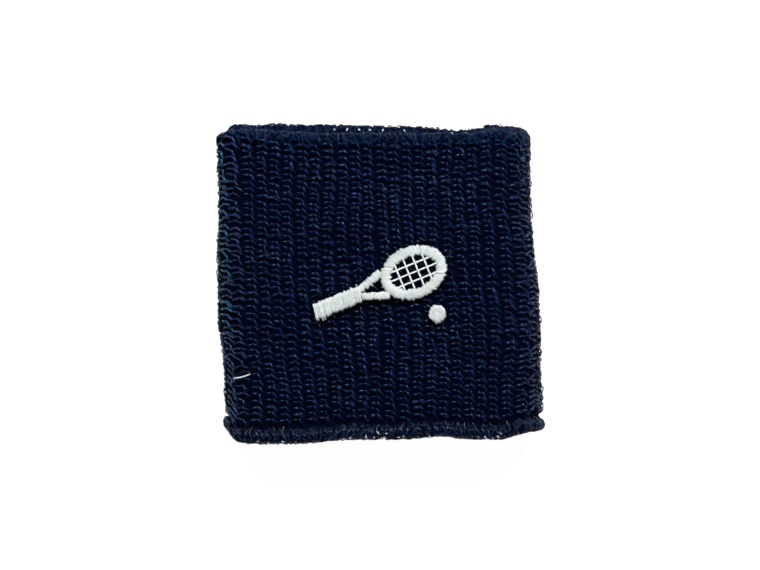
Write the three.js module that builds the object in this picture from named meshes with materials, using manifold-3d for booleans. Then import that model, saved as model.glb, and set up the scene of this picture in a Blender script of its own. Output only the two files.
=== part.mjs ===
// Sweat wristband: a knitted terry tube, folded double and closed along its lower rim, lying flat
// on its back wall, with a racket emblem embroidered on the wall that faces up.
//
// Millimetres, +Z up. The wrist goes through along Y. The origin is on the resting plane, under
// the middle of the band.

import * as THREE from 'three';
import { mergeVertices } from 'three/addons/utils/BufferGeometryUtils.js';
import Module from 'manifold-3d';

const wasm = await Module();
wasm.setup();

// ---------------------------------------------------------------- driving dimensions

const GAP = 0.3; // between two pieces that touch

// The band, flattened.
const BAND_WIDTH = 82; // side fold to side fold
const BAND_HEIGHT = 80; // lower rim to upper rim, along the forearm
const LAYER = 2.0; // one terry layer, its ground and its loops
const OPENING = 5.0; // free height between the two inner faces

// What lies between the outer and the inner layer, from the outside in.
const BACKING = 0.25; // stabiliser sheet
const BOBBIN = 0.25; // bobbin thread behind the emblem
const ELASTIC = 0.6; // elastic yarn, through the wall
const ELASTIC_WIDTH = 0.8; // elastic yarn, along the forearm
const ELASTIC_TURNS = 12;
const ELASTIC_MARGIN = 3.5; // from a layer's end to the first and the last turn

// The two rims.
const FOLD_HEIGHT = 3.2; // upper rim, where the tube turns inwards
const HEM_HEIGHT = 2.6; // lower rim, the rolled bead
const FOLD_ROUND = 2.7; // rounding of the fold's edges
const HEM_ROUND = 1.1; // rounding of the bead's edges
const SEAM_THREAD = 0.6; // closing stitch, along the forearm
const SEAM_DEPTH = 1.1; // how far the stitch pulls the cloth in, on both faces

// The emblem, a racket and a ball. Its long axis is its own X.
const EMBLEM_CENTRE = new THREE.Vector2(0, -0.5);
const EMBLEM_TILT = THREE.MathUtils.degToRad(22);
const HEAD_LENGTH = 17.0;
const HEAD_WIDTH = 13.0;
const FRAME_STITCH = 2.3; // width of the satin column round the head
const THROAT_LENGTH = 6.0;
const ARM_WIDTH = 1.7;
const ARM_SEAT = new THREE.Vector2(0.25, 0.33); // an arm's end, in head lengths and widths
const HANDLE_LENGTH = 12.5;
const HANDLE_WIDTH = 3.8;
const STRING_WIDTH = 0.5;
const MAIN_STRINGS = 3;
const CROSS_STRINGS = 4;
const BALL_RADIUS = 2.1;
const BALL_PLACE = new THREE.Vector2(11.0, -12.0);
const SATIN = 0.8; // thickness of the satin stitches
const SATIN_PROUD = 0.4; // how far they stand above the loops
const SATIN_ROUND = 0.2;
const UNDERLAY = 0.3; // thickness of the underlay stitches
const UNDERLAY_INSET = 0.35; // how far the underlay stays inside the satin's outline
const BACKING_LENGTH = 42;
const BACKING_WIDTH = 32;
const BACKING_CORNER = 3;
const JUMP_THREAD = 0.5; // width of the thread that runs from racket to ball

// The loose thread end on the front wall, by the left side fold.
const TAIL_DIAMETER = 0.4;
const TAIL_LENGTH = 4.0;
const TAIL_RISE = 1.0;
const TAIL_FROM_SIDE = 6.1;
const TAIL_ABOVE_RIM = 16.2;

// ---------------------------------------------------------------- sizes that follow

const BETWEEN_LAYERS = GAP + BACKING + GAP + BOBBIN + GAP + ELASTIC + GAP;
const WALL = LAYER + BETWEEN_LAYERS + LAYER;
const THICKNESS = WALL + OPENING + WALL;
const FOLD_RADIUS = THICKNESS / 2; // of the side folds, outside
const FOLD_CENTRE = BAND_WIDTH / 2 - FOLD_RADIUS; // of the side folds, from the middle
const LOWER_RIM = -BAND_HEIGHT / 2;
const UPPER_RIM = BAND_HEIGHT / 2;
const SEAM_BOTTOM = LOWER_RIM + HEM_HEIGHT + GAP;
const LAYER_BOTTOM = SEAM_BOTTOM + SEAM_THREAD + GAP;
const LAYER_TOP = UPPER_RIM - FOLD_HEIGHT - GAP;

const EMBLEM_LENGTH = HANDLE_LENGTH + THROAT_LENGTH + HEAD_LENGTH;
const HANDLE_START = -EMBLEM_LENGTH / 2;
const HANDLE_END = HANDLE_START + HANDLE_LENGTH;
const HEAD_CENTRE = EMBLEM_LENGTH / 2 - HEAD_LENGTH / 2;
const SATIN_FLOOR = SATIN_PROUD - SATIN; // from the loops' tops, as the next three
const UNDERLAY_TOP = SATIN_FLOOR - GAP;
const UNDERLAY_FLOOR = UNDERLAY_TOP - UNDERLAY;
const BACKING_TOP = -LAYER - GAP;
const BOBBIN_TOP = BACKING_TOP - BACKING - GAP;

const ARC_STEPS = 6; // steps in a quarter of a side fold
const ELLIPSE_STEPS = 14; // steps in half an ellipse
const ROUND_SHARE = 0.48; // the most of a slab's height that one rounding takes
const WELD = 0.0001; // corners of an extruded solid that lie closer than this are one
const MERGE = 0.005; // the same, for a solid that was joined or cut

// ---------------------------------------------------------------- solids

// A closed solid from a three.js geometry, for joining and cutting.
function solid(geometry) {
  const bare = geometry.clone();
  bare.deleteAttribute('normal');
  bare.deleteAttribute('uv');
  const merged = mergeVertices(bare, WELD);
  const mesh = new wasm.Mesh({
    numProp: 3,
    vertProperties: new Float32Array(merged.attributes.position.array),
    triVerts: new Uint32Array(merged.index.array),
  });
  return new wasm.Manifold(mesh);
}

// A three.js geometry from a closed solid.
function geometryOf(manifold) {
  const mesh = manifold.setTolerance(MERGE).getMesh();
  const geometry = new THREE.BufferGeometry();
  geometry.setAttribute('position', new THREE.BufferAttribute(mesh.vertProperties, mesh.numProp));
  geometry.setIndex(new THREE.BufferAttribute(mesh.triVerts, 1));
  geometry.computeVertexNormals();
  return geometry;
}

function join(...solids) {
  return solids.reduce((sum, next) => sum.add(next));
}

// An outline pushed straight up from `floor` to `top`.
function slab(shape, floor, top, steps = ARC_STEPS) {
  const geometry = new THREE.ExtrudeGeometry(shape, {
    depth: top - floor,
    curveSegments: steps,
    bevelEnabled: false,
  });
  return geometry.translate(0, 0, floor);
}

// The same, with its edges rounded inside the outline, by less than half its height.
function roundedSlab(shape, floor, top, radius, bevelSegments, steps = ARC_STEPS) {
  const round = Math.min(radius, ROUND_SHARE * (top - floor));
  const geometry = new THREE.ExtrudeGeometry(shape, {
    depth: top - floor - 2 * round,
    curveSegments: steps,
    bevelEnabled: true,
    bevelThickness: round,
    bevelSize: round,
    bevelOffset: -round,
    bevelSegments,
  });
  return geometry.translate(0, 0, floor + round);
}

function part(name, geometry, color, roughness) {
  const material = new THREE.MeshStandardMaterial({ color, roughness, metalness: 0 });
  const mesh = new THREE.Mesh(geometry, material);
  mesh.name = name;
  return mesh;
}

// ---------------------------------------------------------------- outlines

// The flattened band's section, `inset` inside its outer face.
function bandOutline(path, inset) {
  const radius = FOLD_RADIUS - inset;
  path.moveTo(-FOLD_CENTRE, -radius);
  path.lineTo(FOLD_CENTRE, -radius);
  path.absarc(FOLD_CENTRE, 0, radius, -Math.PI / 2, Math.PI / 2, false);
  path.lineTo(-FOLD_CENTRE, radius);
  path.absarc(-FOLD_CENTRE, 0, radius, Math.PI / 2, (3 * Math.PI) / 2, false);
  return path;
}

// The section of a sleeve that fills the wall from `outerInset` to `innerInset`.
function sleeveOutline(outerInset, innerInset) {
  const shape = bandOutline(new THREE.Shape(), outerInset);
  shape.holes.push(bandOutline(new THREE.Path(), innerInset));
  return shape;
}

function ellipse(path, x, y, radiusX, radiusY) {
  return path.absellipse(x, y, radiusX, radiusY, 0, 2 * Math.PI, false, 0);
}

// The racket's head, grown by `grow`, as a disc.
function headDisc(grow) {
  return ellipse(new THREE.Shape(), HEAD_CENTRE, 0, HEAD_LENGTH / 2 + grow, HEAD_WIDTH / 2 + grow);
}

// The satin column round the head, grown by `grow` on both sides.
function headRing(grow) {
  const shape = headDisc(grow);
  const inner = -FRAME_STITCH - grow;
  const hole = new THREE.Path();
  shape.holes.push(ellipse(hole, HEAD_CENTRE, 0, HEAD_LENGTH / 2 + inner, HEAD_WIDTH / 2 + inner));
  return shape;
}

// One arm of the throat, from the handle into the head; side is +1 or -1.
function throatArm(side, grow) {
  const half = ARM_WIDTH / 2 + grow;
  const start = new THREE.Vector2(HANDLE_END + GAP - grow, side * (ARM_WIDTH / 2 + GAP / 2));
  const end = new THREE.Vector2(
    HEAD_CENTRE - ARM_SEAT.x * HEAD_LENGTH,
    side * ARM_SEAT.y * HEAD_WIDTH,
  );
  const across = end.clone().sub(start).normalize().rotateAround(new THREE.Vector2(), Math.PI / 2);
  return new THREE.Shape([
    new THREE.Vector2(start.x, start.y - half),
    end.clone().addScaledVector(across, -half),
    end.clone().addScaledVector(across, half),
    new THREE.Vector2(start.x, start.y + half),
  ]);
}

function bar(fromX, toX, fromY, toY) {
  return new THREE.Shape([
    new THREE.Vector2(fromX, fromY),
    new THREE.Vector2(toX, fromY),
    new THREE.Vector2(toX, toY),
    new THREE.Vector2(fromX, toY),
  ]);
}

function handleBar(grow) {
  const half = HANDLE_WIDTH / 2 + grow;
  return bar(HANDLE_START - grow, HANDLE_END + grow, -half, half);
}

function ballDisc(grow) {
  const radius = BALL_RADIUS + grow;
  return ellipse(new THREE.Shape(), BALL_PLACE.x, BALL_PLACE.y, radius, radius);
}

function roundedRectangle(length, width, corner) {
  const x = length / 2 - corner;
  const y = width / 2 - corner;
  const shape = new THREE.Shape();
  shape.absarc(x, y, corner, 0, Math.PI / 2, false);
  shape.absarc(-x, y, corner, Math.PI / 2, Math.PI, false);
  shape.absarc(-x, -y, corner, Math.PI, (3 * Math.PI) / 2, false);
  shape.absarc(x, -y, corner, (3 * Math.PI) / 2, 2 * Math.PI, false);
  return shape;
}

// ---------------------------------------------------------------- the sleeve's frame

// Sleeve pieces are pushed along their own Z, which this group turns to the band's Y.
const sleeve = new THREE.Group();
sleeve.position.z = THICKNESS / 2;
sleeve.rotation.x = -Math.PI / 2;
sleeve.updateMatrixWorld(true);

// Emblem pieces lie flat, with Z = 0 at the loops' tops.
const emblem = new THREE.Group();
emblem.position.set(EMBLEM_CENTRE.x, EMBLEM_CENTRE.y, THICKNESS);
emblem.rotation.z = EMBLEM_TILT;
emblem.updateMatrixWorld(true);

function emblemToSleeve(geometry) {
  const matrix = sleeve.matrixWorld.clone().invert().multiply(emblem.matrixWorld);
  return geometry.applyMatrix4(matrix);
}

// ---------------------------------------------------------------- terry cloth

// The hollow that the embroidery presses into the loops: shallow under the whole head and the
// ball, deeper where the underlay runs.
function pressedHollow() {
  const clearance = GAP;
  const above = SATIN_PROUD + 1;
  const shallowFloor = SATIN_FLOOR - GAP;
  const deepFloor = UNDERLAY_FLOOR - GAP;
  const shallow = [headDisc(clearance), ballDisc(clearance)];
  const deep = [
    headRing(clearance),
    throatArm(1, clearance),
    throatArm(-1, clearance),
    handleBar(clearance),
    bar(HANDLE_END, HANDLE_END + THROAT_LENGTH, -ARM_WIDTH, ARM_WIDTH),
  ];
  return join(
    ...shallow.map((shape) => solid(slab(shape, shallowFloor, above, ELLIPSE_STEPS))),
    ...deep.map((shape) => solid(slab(shape, deepFloor, above, ELLIPSE_STEPS))),
  );
}

function outerTerryLayer() {
  const tube = solid(slab(sleeveOutline(0, LAYER), LAYER_BOTTOM, LAYER_TOP));
  const hollow = solid(emblemToSleeve(geometryOf(pressedHollow())));
  return part('outer_terry_layer', geometryOf(tube.subtract(hollow)), 0x0a1228, 0.95);
}

function innerTerryLayer() {
  const tube = slab(sleeveOutline(WALL - LAYER, WALL), LAYER_BOTTOM, LAYER_TOP);
  return part('inner_terry_layer', tube, 0x0c162f, 0.95);
}

// The upper rim: round on top, flat where it meets the two layers.
function upperRimFold() {
  const height = FOLD_HEIGHT + FOLD_ROUND;
  const bead = roundedSlab(sleeveOutline(0, WALL), UPPER_RIM - height, UPPER_RIM, FOLD_ROUND, 4);
  const below = bar(-BAND_WIDTH, BAND_WIDTH, -THICKNESS, THICKNESS);
  const cutter = slab(below, UPPER_RIM - 2 * height, UPPER_RIM - FOLD_HEIGHT);
  return part('upper_rim_fold', geometryOf(solid(bead).subtract(solid(cutter))), 0x14213c, 0.95);
}

// The lower rim: a bead, round on both sides.
function lowerHemRoll() {
  const bead = roundedSlab(
    sleeveOutline(0, WALL),
    LOWER_RIM,
    LOWER_RIM + HEM_HEIGHT,
    HEM_ROUND,
    3,
  );
  return part('lower_hem_roll', bead, 0x0e172d, 0.95);
}

// ---------------------------------------------------------------- yarns of the sleeve

function closingSeamThread() {
  const ring = sleeveOutline(SEAM_DEPTH, WALL - SEAM_DEPTH);
  const thread = slab(ring, SEAM_BOTTOM, SEAM_BOTTOM + SEAM_THREAD);
  return part('closing_seam_thread', thread, 0x0b1222, 0.8);
}

// The elastic yarn's turns lie on the inner layer, evenly spread between its ends.
function elasticTurns() {
  const inner = WALL - LAYER - GAP;
  const outline = sleeveOutline(inner - ELASTIC, inner);
  const first = LAYER_BOTTOM + ELASTIC_MARGIN;
  const last = LAYER_TOP - ELASTIC_MARGIN - ELASTIC_WIDTH;
  const pitch = (last - first) / (ELASTIC_TURNS - 1);
  return Array.from({ length: ELASTIC_TURNS }, (_, turn) => {
    const floor = first + turn * pitch;
    const name = `elastic_yarn_turn_${String(turn + 1).padStart(2, '0')}`;
    return part(name, slab(outline, floor, floor + ELASTIC_WIDTH), 0xe4e6e2, 0.6);
  });
}

// ---------------------------------------------------------------- embroidery

const THREAD_WHITE = 0xd3dbda;

function satin(name, shape, steps = ELLIPSE_STEPS) {
  const column = roundedSlab(shape, SATIN_FLOOR, SATIN_PROUD, SATIN_ROUND, 1, steps);
  return part(name, column, THREAD_WHITE, 0.45);
}

// An arm is cut short where the column round the head begins.
function throatColumn(name, side) {
  const arm = solid(roundedSlab(throatArm(side, 0), SATIN_FLOOR, SATIN_PROUD, SATIN_ROUND, 1));
  const head = solid(slab(headDisc(GAP), SATIN_FLOOR - 1, SATIN_PROUD + 1, ELLIPSE_STEPS));
  return part(name, geometryOf(arm.subtract(head)), THREAD_WHITE, 0.45);
}

// The string stitches, kept clear of the column round the head.
function stringStitches() {
  const inner = -FRAME_STITCH - GAP;
  const reachX = HEAD_LENGTH / 2;
  const reachY = HEAD_WIDTH / 2;
  const half = STRING_WIDTH / 2;
  const bars = [];
  for (let main = 0; main < MAIN_STRINGS; main += 1) {
    const y = (HEAD_WIDTH - 2 * FRAME_STITCH) * ((main + 1) / (MAIN_STRINGS + 1) - 0.5);
    bars.push(bar(HEAD_CENTRE - reachX, HEAD_CENTRE + reachX, y - half, y + half));
  }
  for (let cross = 0; cross < CROSS_STRINGS; cross += 1) {
    const along = (HEAD_LENGTH - 2 * FRAME_STITCH) * ((cross + 1) / (CROSS_STRINGS + 1) - 0.5);
    const x = HEAD_CENTRE + along;
    bars.push(bar(x - half, x + half, -reachY, reachY));
  }
  const grid = join(...bars.map((shape) => solid(slab(shape, SATIN_FLOOR, SATIN_FLOOR + 0.5))));
  const inside = solid(slab(headDisc(inner), SATIN_FLOOR - 1, SATIN_PROUD + 1, ELLIPSE_STEPS));
  return part('emblem_string_stitches', geometryOf(grid.intersect(inside)), THREAD_WHITE, 0.45);
}

// The racket's columns as one outline, at the given heights.
function racketColumns(floor, top, grow) {
  return join(
    solid(slab(headRing(grow), floor, top, ELLIPSE_STEPS)),
    solid(slab(throatArm(1, grow), floor, top)),
    solid(slab(throatArm(-1, grow), floor, top)),
    solid(slab(bar(HANDLE_END - 1, HANDLE_END + 1, -ARM_WIDTH, ARM_WIDTH), floor, top)),
    solid(slab(handleBar(grow), floor, top)),
  );
}

function emblemUnderlay() {
  const zigzag = racketColumns(UNDERLAY_FLOOR, UNDERLAY_TOP, -UNDERLAY_INSET);
  return part('emblem_underlay', geometryOf(zigzag), 0xc9d0cf, 0.7);
}

function emblemBobbinThread() {
  const floor = BOBBIN_TOP - BOBBIN;
  const racket = racketColumns(floor, BOBBIN_TOP, -UNDERLAY_INSET);
  const ball = solid(slab(ballDisc(-UNDERLAY_INSET), floor, BOBBIN_TOP, ELLIPSE_STEPS));
  const half = JUMP_THREAD / 2;
  const fromHead = -HEAD_WIDTH / 2 + FRAME_STITCH / 2;
  const jumpBar = bar(BALL_PLACE.x - half, BALL_PLACE.x + half, BALL_PLACE.y, fromHead);
  const jump = solid(slab(jumpBar, floor, BOBBIN_TOP));
  return part('emblem_bobbin_thread', geometryOf(join(racket, ball, jump)), 0xf0f0ec, 0.6);
}

function emblemBacking() {
  const sheet = roundedRectangle(BACKING_LENGTH, BACKING_WIDTH, BACKING_CORNER);
  return part('emblem_backing', slab(sheet, BACKING_TOP - BACKING, BACKING_TOP, 2), 0xf2f2ee, 0.9);
}

// ---------------------------------------------------------------- loose thread end

// Height of the front wall's outer face at a distance from the middle.
function frontFace(x) {
  const past = Math.max(0, Math.abs(x) - FOLD_CENTRE);
  return THICKNESS / 2 + Math.sqrt(FOLD_RADIUS ** 2 - past ** 2);
}

// The thread lies along the curve of the side fold, rising a little to the right.
function looseThreadEnd() {
  const startX = -BAND_WIDTH / 2 + TAIL_FROM_SIDE - TAIL_LENGTH / 2;
  const startY = LOWER_RIM + TAIL_ABOVE_RIM;
  const points = [0, 0.25, 0.5, 0.75, 1].map((along) => {
    const x = startX + along * TAIL_LENGTH;
    const y = startY + TAIL_RISE * along * along;
    return new THREE.Vector3(x, y, frontFace(x) + GAP + TAIL_DIAMETER / 2);
  });
  const section = ellipse(new THREE.Shape(), 0, 0, TAIL_DIAMETER / 2, TAIL_DIAMETER / 2);
  const thread = new THREE.ExtrudeGeometry(section, {
    curveSegments: 4,
    steps: 8,
    bevelEnabled: false,
    extrudePath: new THREE.CatmullRomCurve3(points),
  });
  return part('loose_thread_end', thread, THREAD_WHITE, 0.5);
}

// ---------------------------------------------------------------- assembly

sleeve.add(outerTerryLayer(), innerTerryLayer(), upperRimFold(), lowerHemRoll());
sleeve.add(closingSeamThread(), ...elasticTurns());

emblem.add(
  satin('emblem_racket_head', headRing(0)),
  throatColumn('emblem_racket_throat_upper', 1),
  throatColumn('emblem_racket_throat_lower', -1),
  satin('emblem_racket_handle', handleBar(0)),
  satin('emblem_ball', ballDisc(0)),
  stringStitches(),
  emblemUnderlay(),
  emblemBobbinThread(),
  emblemBacking(),
);

const wristband = new THREE.Group();
wristband.name = 'sweat_wristband';
wristband.add(sleeve, emblem, looseThreadEnd());

export default wristband;
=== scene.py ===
"""A knitted terry sweat wristband, lying flat on a pale floor.

The band is one tube of terry cloth. It is folded inwards at its upper rim, so that it has an outer
and an inner layer, and both are closed by a rolled hem at the lower rim. Elastic yarn runs round
between the layers. A racket and a ball are embroidered on the front in white satin stitch.

Lengths are in millimetres until a mesh is made, which is in metres.
"""

import logging
import math
from dataclasses import dataclass
from enum import Enum

import bpy
import numpy as np
from mathutils import Matrix, Vector


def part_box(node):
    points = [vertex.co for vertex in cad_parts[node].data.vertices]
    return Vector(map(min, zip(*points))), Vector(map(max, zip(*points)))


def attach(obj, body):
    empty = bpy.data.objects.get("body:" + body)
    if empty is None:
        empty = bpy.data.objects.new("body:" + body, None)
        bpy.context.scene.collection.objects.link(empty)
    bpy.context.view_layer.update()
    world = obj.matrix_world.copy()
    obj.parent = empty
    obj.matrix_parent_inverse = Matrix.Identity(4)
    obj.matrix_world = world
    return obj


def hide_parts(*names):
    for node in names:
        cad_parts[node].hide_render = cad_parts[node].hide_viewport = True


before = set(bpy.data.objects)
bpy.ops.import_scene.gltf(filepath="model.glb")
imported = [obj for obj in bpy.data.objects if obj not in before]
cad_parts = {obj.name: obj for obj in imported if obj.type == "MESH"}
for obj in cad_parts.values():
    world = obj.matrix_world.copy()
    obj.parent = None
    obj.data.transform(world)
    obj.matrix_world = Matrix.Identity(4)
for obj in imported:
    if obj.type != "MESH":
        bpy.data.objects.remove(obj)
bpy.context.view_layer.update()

LOG = logging.getLogger("wristband")
MM = 0.001
BAKE_LAYER = "OFBake"
Array = np.ndarray
Pair = tuple[float, float]
Triple = tuple[float, float, float]
Row = tuple[float, ...]
Piece = bpy.types.Object
Material = bpy.types.Material
Socket = bpy.types.NodeSocket


# ---------------------------------------------------------------- small helpers


def smooth_step(value: Array, low: float, high: float) -> Array:
    """A soft change from 0 at low to 1 at high.

    Args:
        value: The numbers to weigh.
        low: Where the change begins.
        high: Where it ends, which may be below low.

    Returns:
        The weights, in the shape of value.
    """
    share = np.clip((value - low) / (high - low), 0.0, 1.0)
    return share * share * (3.0 - 2.0 * share)


@dataclass(frozen=True)
class Ramp:
    """A soft change from 0 at one place to a height at another."""

    height: float
    start: float
    end: float

    def at(self, place: Array) -> Array:
        """The height at each place."""
        return self.height * smooth_step(place, self.start, self.end)


@dataclass(frozen=True)
class Bump:
    """A rounded rise, or a dip where its height is below 0."""

    height: float
    middle: float
    width: float

    def at(self, place: Array) -> Array:
        """The height at each place."""
        return self.height * np.exp(-(((place - self.middle) / self.width) ** 2))


@dataclass(frozen=True)
class Ripple:
    """A slow, irregular wave over the cloth, made of a few sines."""

    seed: int
    shortest: float
    longest: float
    height: float
    waves: int = 6

    def at(self, across: Array, along: Array) -> Array:
        """The wave, mostly from minus its height to its height.

        Args:
            across: Places round the band.
            along: Places along the band.

        Returns:
            The wave at those places.
        """
        rng = np.random.default_rng(self.seed)
        length = rng.uniform(self.shortest, self.longest, self.waves)
        heading = rng.uniform(0.0, math.tau, self.waves)
        phase = rng.uniform(0.0, math.tau, self.waves)
        total = np.zeros(np.broadcast(across, along).shape)
        for size, angle, start in zip(length, heading, phase):
            along_wave = across * math.cos(angle) + along * math.sin(angle)
            total += np.sin(math.tau * along_wave / size + start)
        usual = math.sqrt(self.waves / 2) / 0.7
        return self.height * total / usual


def spline_weights(points: int, rings: int) -> Array:
    """Weights that draw a smooth line through a row of points.

    Args:
        points: How many points the line goes through.
        rings: How many points to draw on it.

    Returns:
        One row of weights for each drawn point.
    """
    at = np.linspace(0.0, points - 1.0, rings)
    segment = np.minimum(at.astype(int), points - 2)
    part = at - segment
    basis = (
        -part + 2 * part**2 - part**3,
        2 - 5 * part**2 + 3 * part**3,
        part + 4 * part**2 - 3 * part**3,
        -(part**2) + part**3,
    )
    weights = np.zeros((rings, points + 2))
    for step, share in enumerate(basis):
        weights[np.arange(rings), segment + step] += share / 2
    weights[:, 1] += 2 * weights[:, 0]
    weights[:, 2] -= weights[:, 0]
    weights[:, points] += 2 * weights[:, points + 1]
    weights[:, points - 1] -= weights[:, points + 1]
    return weights[:, 1 : points + 1]


def distances(paths: Array) -> Array:
    """How far along its path each point lies.

    Args:
        paths: A row of points for each path.

    Returns:
        One distance for each point.
    """
    steps = np.linalg.norm(np.diff(paths, axis=1), axis=-1)
    return np.concatenate([np.zeros((len(paths), 1)), np.cumsum(steps, axis=1)], axis=1)


def grid_faces(rows: int, columns: int, close_rows: bool = False, close_columns: bool = True) -> Array:
    """The four-cornered faces between the points of a grid.

    Args:
        rows: How many rows of points.
        columns: How many points in a row.
        close_rows: Whether the last row joins the first.
        close_columns: Whether each row's last point joins its first.

    Returns:
        Four points for each face.
    """
    row = np.arange(rows if close_rows else rows - 1)[:, None]
    here = np.arange(columns if close_columns else columns - 1)[None, :]
    after = (here + 1) % columns
    low, high = row * columns, (row + 1) % rows * columns
    return np.stack([low + here, low + after, high + after, high + here], axis=-1).reshape(-1, 4)


def box_of(node: str) -> tuple[Array, Array]:
    """A CAD node's lowest and highest corners, in millimetres."""
    low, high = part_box(node)
    return np.array(low) / MM, np.array(high) / MM


def carry(mesh: bpy.types.Mesh, name: str, values: Array) -> None:
    """Stores a number or a vector on every corner of a mesh.

    Args:
        mesh: The mesh.
        name: The attribute's name.
        values: One number, or three, for each corner.
    """
    three = values.size == 3 * len(mesh.vertices)
    kind, key = ("FLOAT_VECTOR", "vector") if three else ("FLOAT", "value")
    layer = mesh.attributes.new(name, kind, "POINT")
    layer.data.foreach_set(key, np.ascontiguousarray(values, np.float32).ravel())


def add_piece(name: str, points: Array, faces: Array, finish: Material) -> Piece:
    """Makes a piece of four-cornered faces and puts it in the scene.

    Args:
        name: The piece's name.
        points: Its corners, in millimetres.
        faces: Four corners for each face.
        finish: Its material.

    Returns:
        The new object.
    """
    points = points.reshape(-1, 3)
    mesh = bpy.data.meshes.new(name)
    mesh.vertices.add(len(points))
    mesh.vertices.foreach_set("co", (points * MM).astype(np.float32).ravel())
    mesh.loops.add(faces.size)
    mesh.loops.foreach_set("vertex_index", faces.astype(np.int32).ravel())
    mesh.polygons.add(len(faces))
    mesh.polygons.foreach_set("loop_start", np.arange(0, faces.size, 4, dtype=np.int32))
    mesh.polygons.foreach_set("use_smooth", np.ones(len(faces), bool))
    mesh.update(calc_edges=True)
    mesh.materials.append(finish)
    piece = bpy.data.objects.new(name, mesh)
    bpy.context.scene.collection.objects.link(piece)
    return piece


def settle_piece(piece: Piece, slot: str, *nodes: str) -> None:
    """Ties a piece to the frame.

    Args:
        piece: The piece.
        slot: Not used.
        nodes: The CAD nodes that it stands for.
    """
    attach(piece, "root")
    if nodes:
        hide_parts(*nodes)
    LOG.info("%s: %d faces", piece.name, len(piece.data.polygons))


# ---------------------------------------------------------------- finishes


class NodeBoard:
    """The node tree of one material, laid out from right to left."""

    def __init__(self, name: str, **sockets: float | Triple) -> None:
        """Makes a material with its shader.

        Args:
            name: The material's name.
            sockets: The shader's values that are the same all over, with _ for a space.
        """
        self.material = bpy.data.materials.new(name)
        self.material.use_nodes = True
        self.tree = self.material.node_tree
        self.tree.nodes.clear()
        self.column = 0
        output = self.add("ShaderNodeOutputMaterial")
        self.shader = self.add("ShaderNodeBsdfPrincipled")
        for key, value in sockets.items():
            socket = self.shader.inputs[key.replace("_", " ")]
            socket.default_value = (*value, 1.0) if isinstance(value, tuple) else value
        self.join(self.shader.outputs[0], output.inputs["Surface"])

    def add(self, kind: str, **settings: object) -> bpy.types.Node:
        """Adds one node.

        Args:
            kind: The node's type.
            settings: Its properties.

        Returns:
            The new node.
        """
        node = self.tree.nodes.new(kind)
        node.location = (self.column * -180, 0)
        self.column += 1
        for key, value in settings.items():
            setattr(node, key, value)
        return node

    def join(self, source: Socket, target: Socket) -> None:
        """Links one socket to another."""
        self.tree.links.new(source, target)

    def feed(self, name: str, source: Socket) -> None:
        """Links a socket to one of the shader's."""
        self.join(source, self.shader.inputs[name])

    def attribute(self, name: str, output: str) -> Socket:
        """Reads an attribute that the mesh carries."""
        return self.add("ShaderNodeAttribute", attribute_name=name).outputs[output]

    def noise(self, place: Socket, scale: float, detail: float) -> Socket:
        """Adds a noise texture.

        Args:
            place: Where it is read.
            scale: Its fineness.
            detail: Its finer layers.

        Returns:
            The noise.
        """
        node = self.add("ShaderNodeTexNoise")
        node.inputs["Scale"].default_value = scale
        node.inputs["Detail"].default_value = detail
        self.join(place, node.inputs["Vector"])
        return node.outputs["Fac"]

    def stretch(self, place: Socket, scale: Triple) -> Socket:
        """Stretches coordinates.

        Args:
            place: The coordinates.
            scale: How much along each axis.

        Returns:
            The stretched coordinates.
        """
        node = self.add("ShaderNodeMapping")
        node.inputs["Scale"].default_value = scale
        self.join(place, node.inputs["Vector"])
        return node.outputs["Vector"]

    def ramp(self, value: Socket, stops: list[tuple[float, Triple]]) -> Socket:
        """Turns a number into a colour.

        Args:
            value: The number.
            stops: Each stop's place and colour.

        Returns:
            The colour.
        """
        node = self.add("ShaderNodeValToRGB")
        bar = node.color_ramp.elements
        while len(bar) < len(stops):
            bar.new(0.5)
        for element, (position, colour) in zip(bar, stops):
            element.position = position
            element.color = (*colour, 1.0)
        self.join(value, node.inputs["Fac"])
        return node.outputs["Color"]

    def to_range(self, value: Socket, low: float, high: float) -> Socket:
        """Spreads a number from 0 to 1 over another range.

        Args:
            value: The number.
            low: What 0 becomes.
            high: What 1 becomes.

        Returns:
            The new number.
        """
        node = self.add("ShaderNodeMapRange")
        node.inputs["To Min"].default_value = low
        node.inputs["To Max"].default_value = high
        self.join(value, node.inputs["Value"])
        return node.outputs["Result"]

    def multiply(self, first: Socket, second: Socket) -> Socket:
        """Multiplies two colours.

        Args:
            first: A colour.
            second: A colour or a number.

        Returns:
            The product.
        """
        node = self.add("ShaderNodeMix", data_type="RGBA", blend_type="MULTIPLY")
        node.inputs["Factor"].default_value = 1.0
        self.join(first, node.inputs["A"])
        self.join(second, node.inputs["B"])
        return node.outputs["Result"]

    def bump(self, height: Socket, depth: float, strength: float) -> None:
        """Gives the shader a bump.

        Args:
            height: From 0 to 1.
            depth: The bump's depth.
            strength: How much of it shows.
        """
        node = self.add("ShaderNodeBump")
        node.inputs["Distance"].default_value = depth * MM
        node.inputs["Strength"].default_value = strength
        self.join(height, node.inputs["Height"])
        self.feed("Normal", node.outputs["Normal"])


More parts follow.
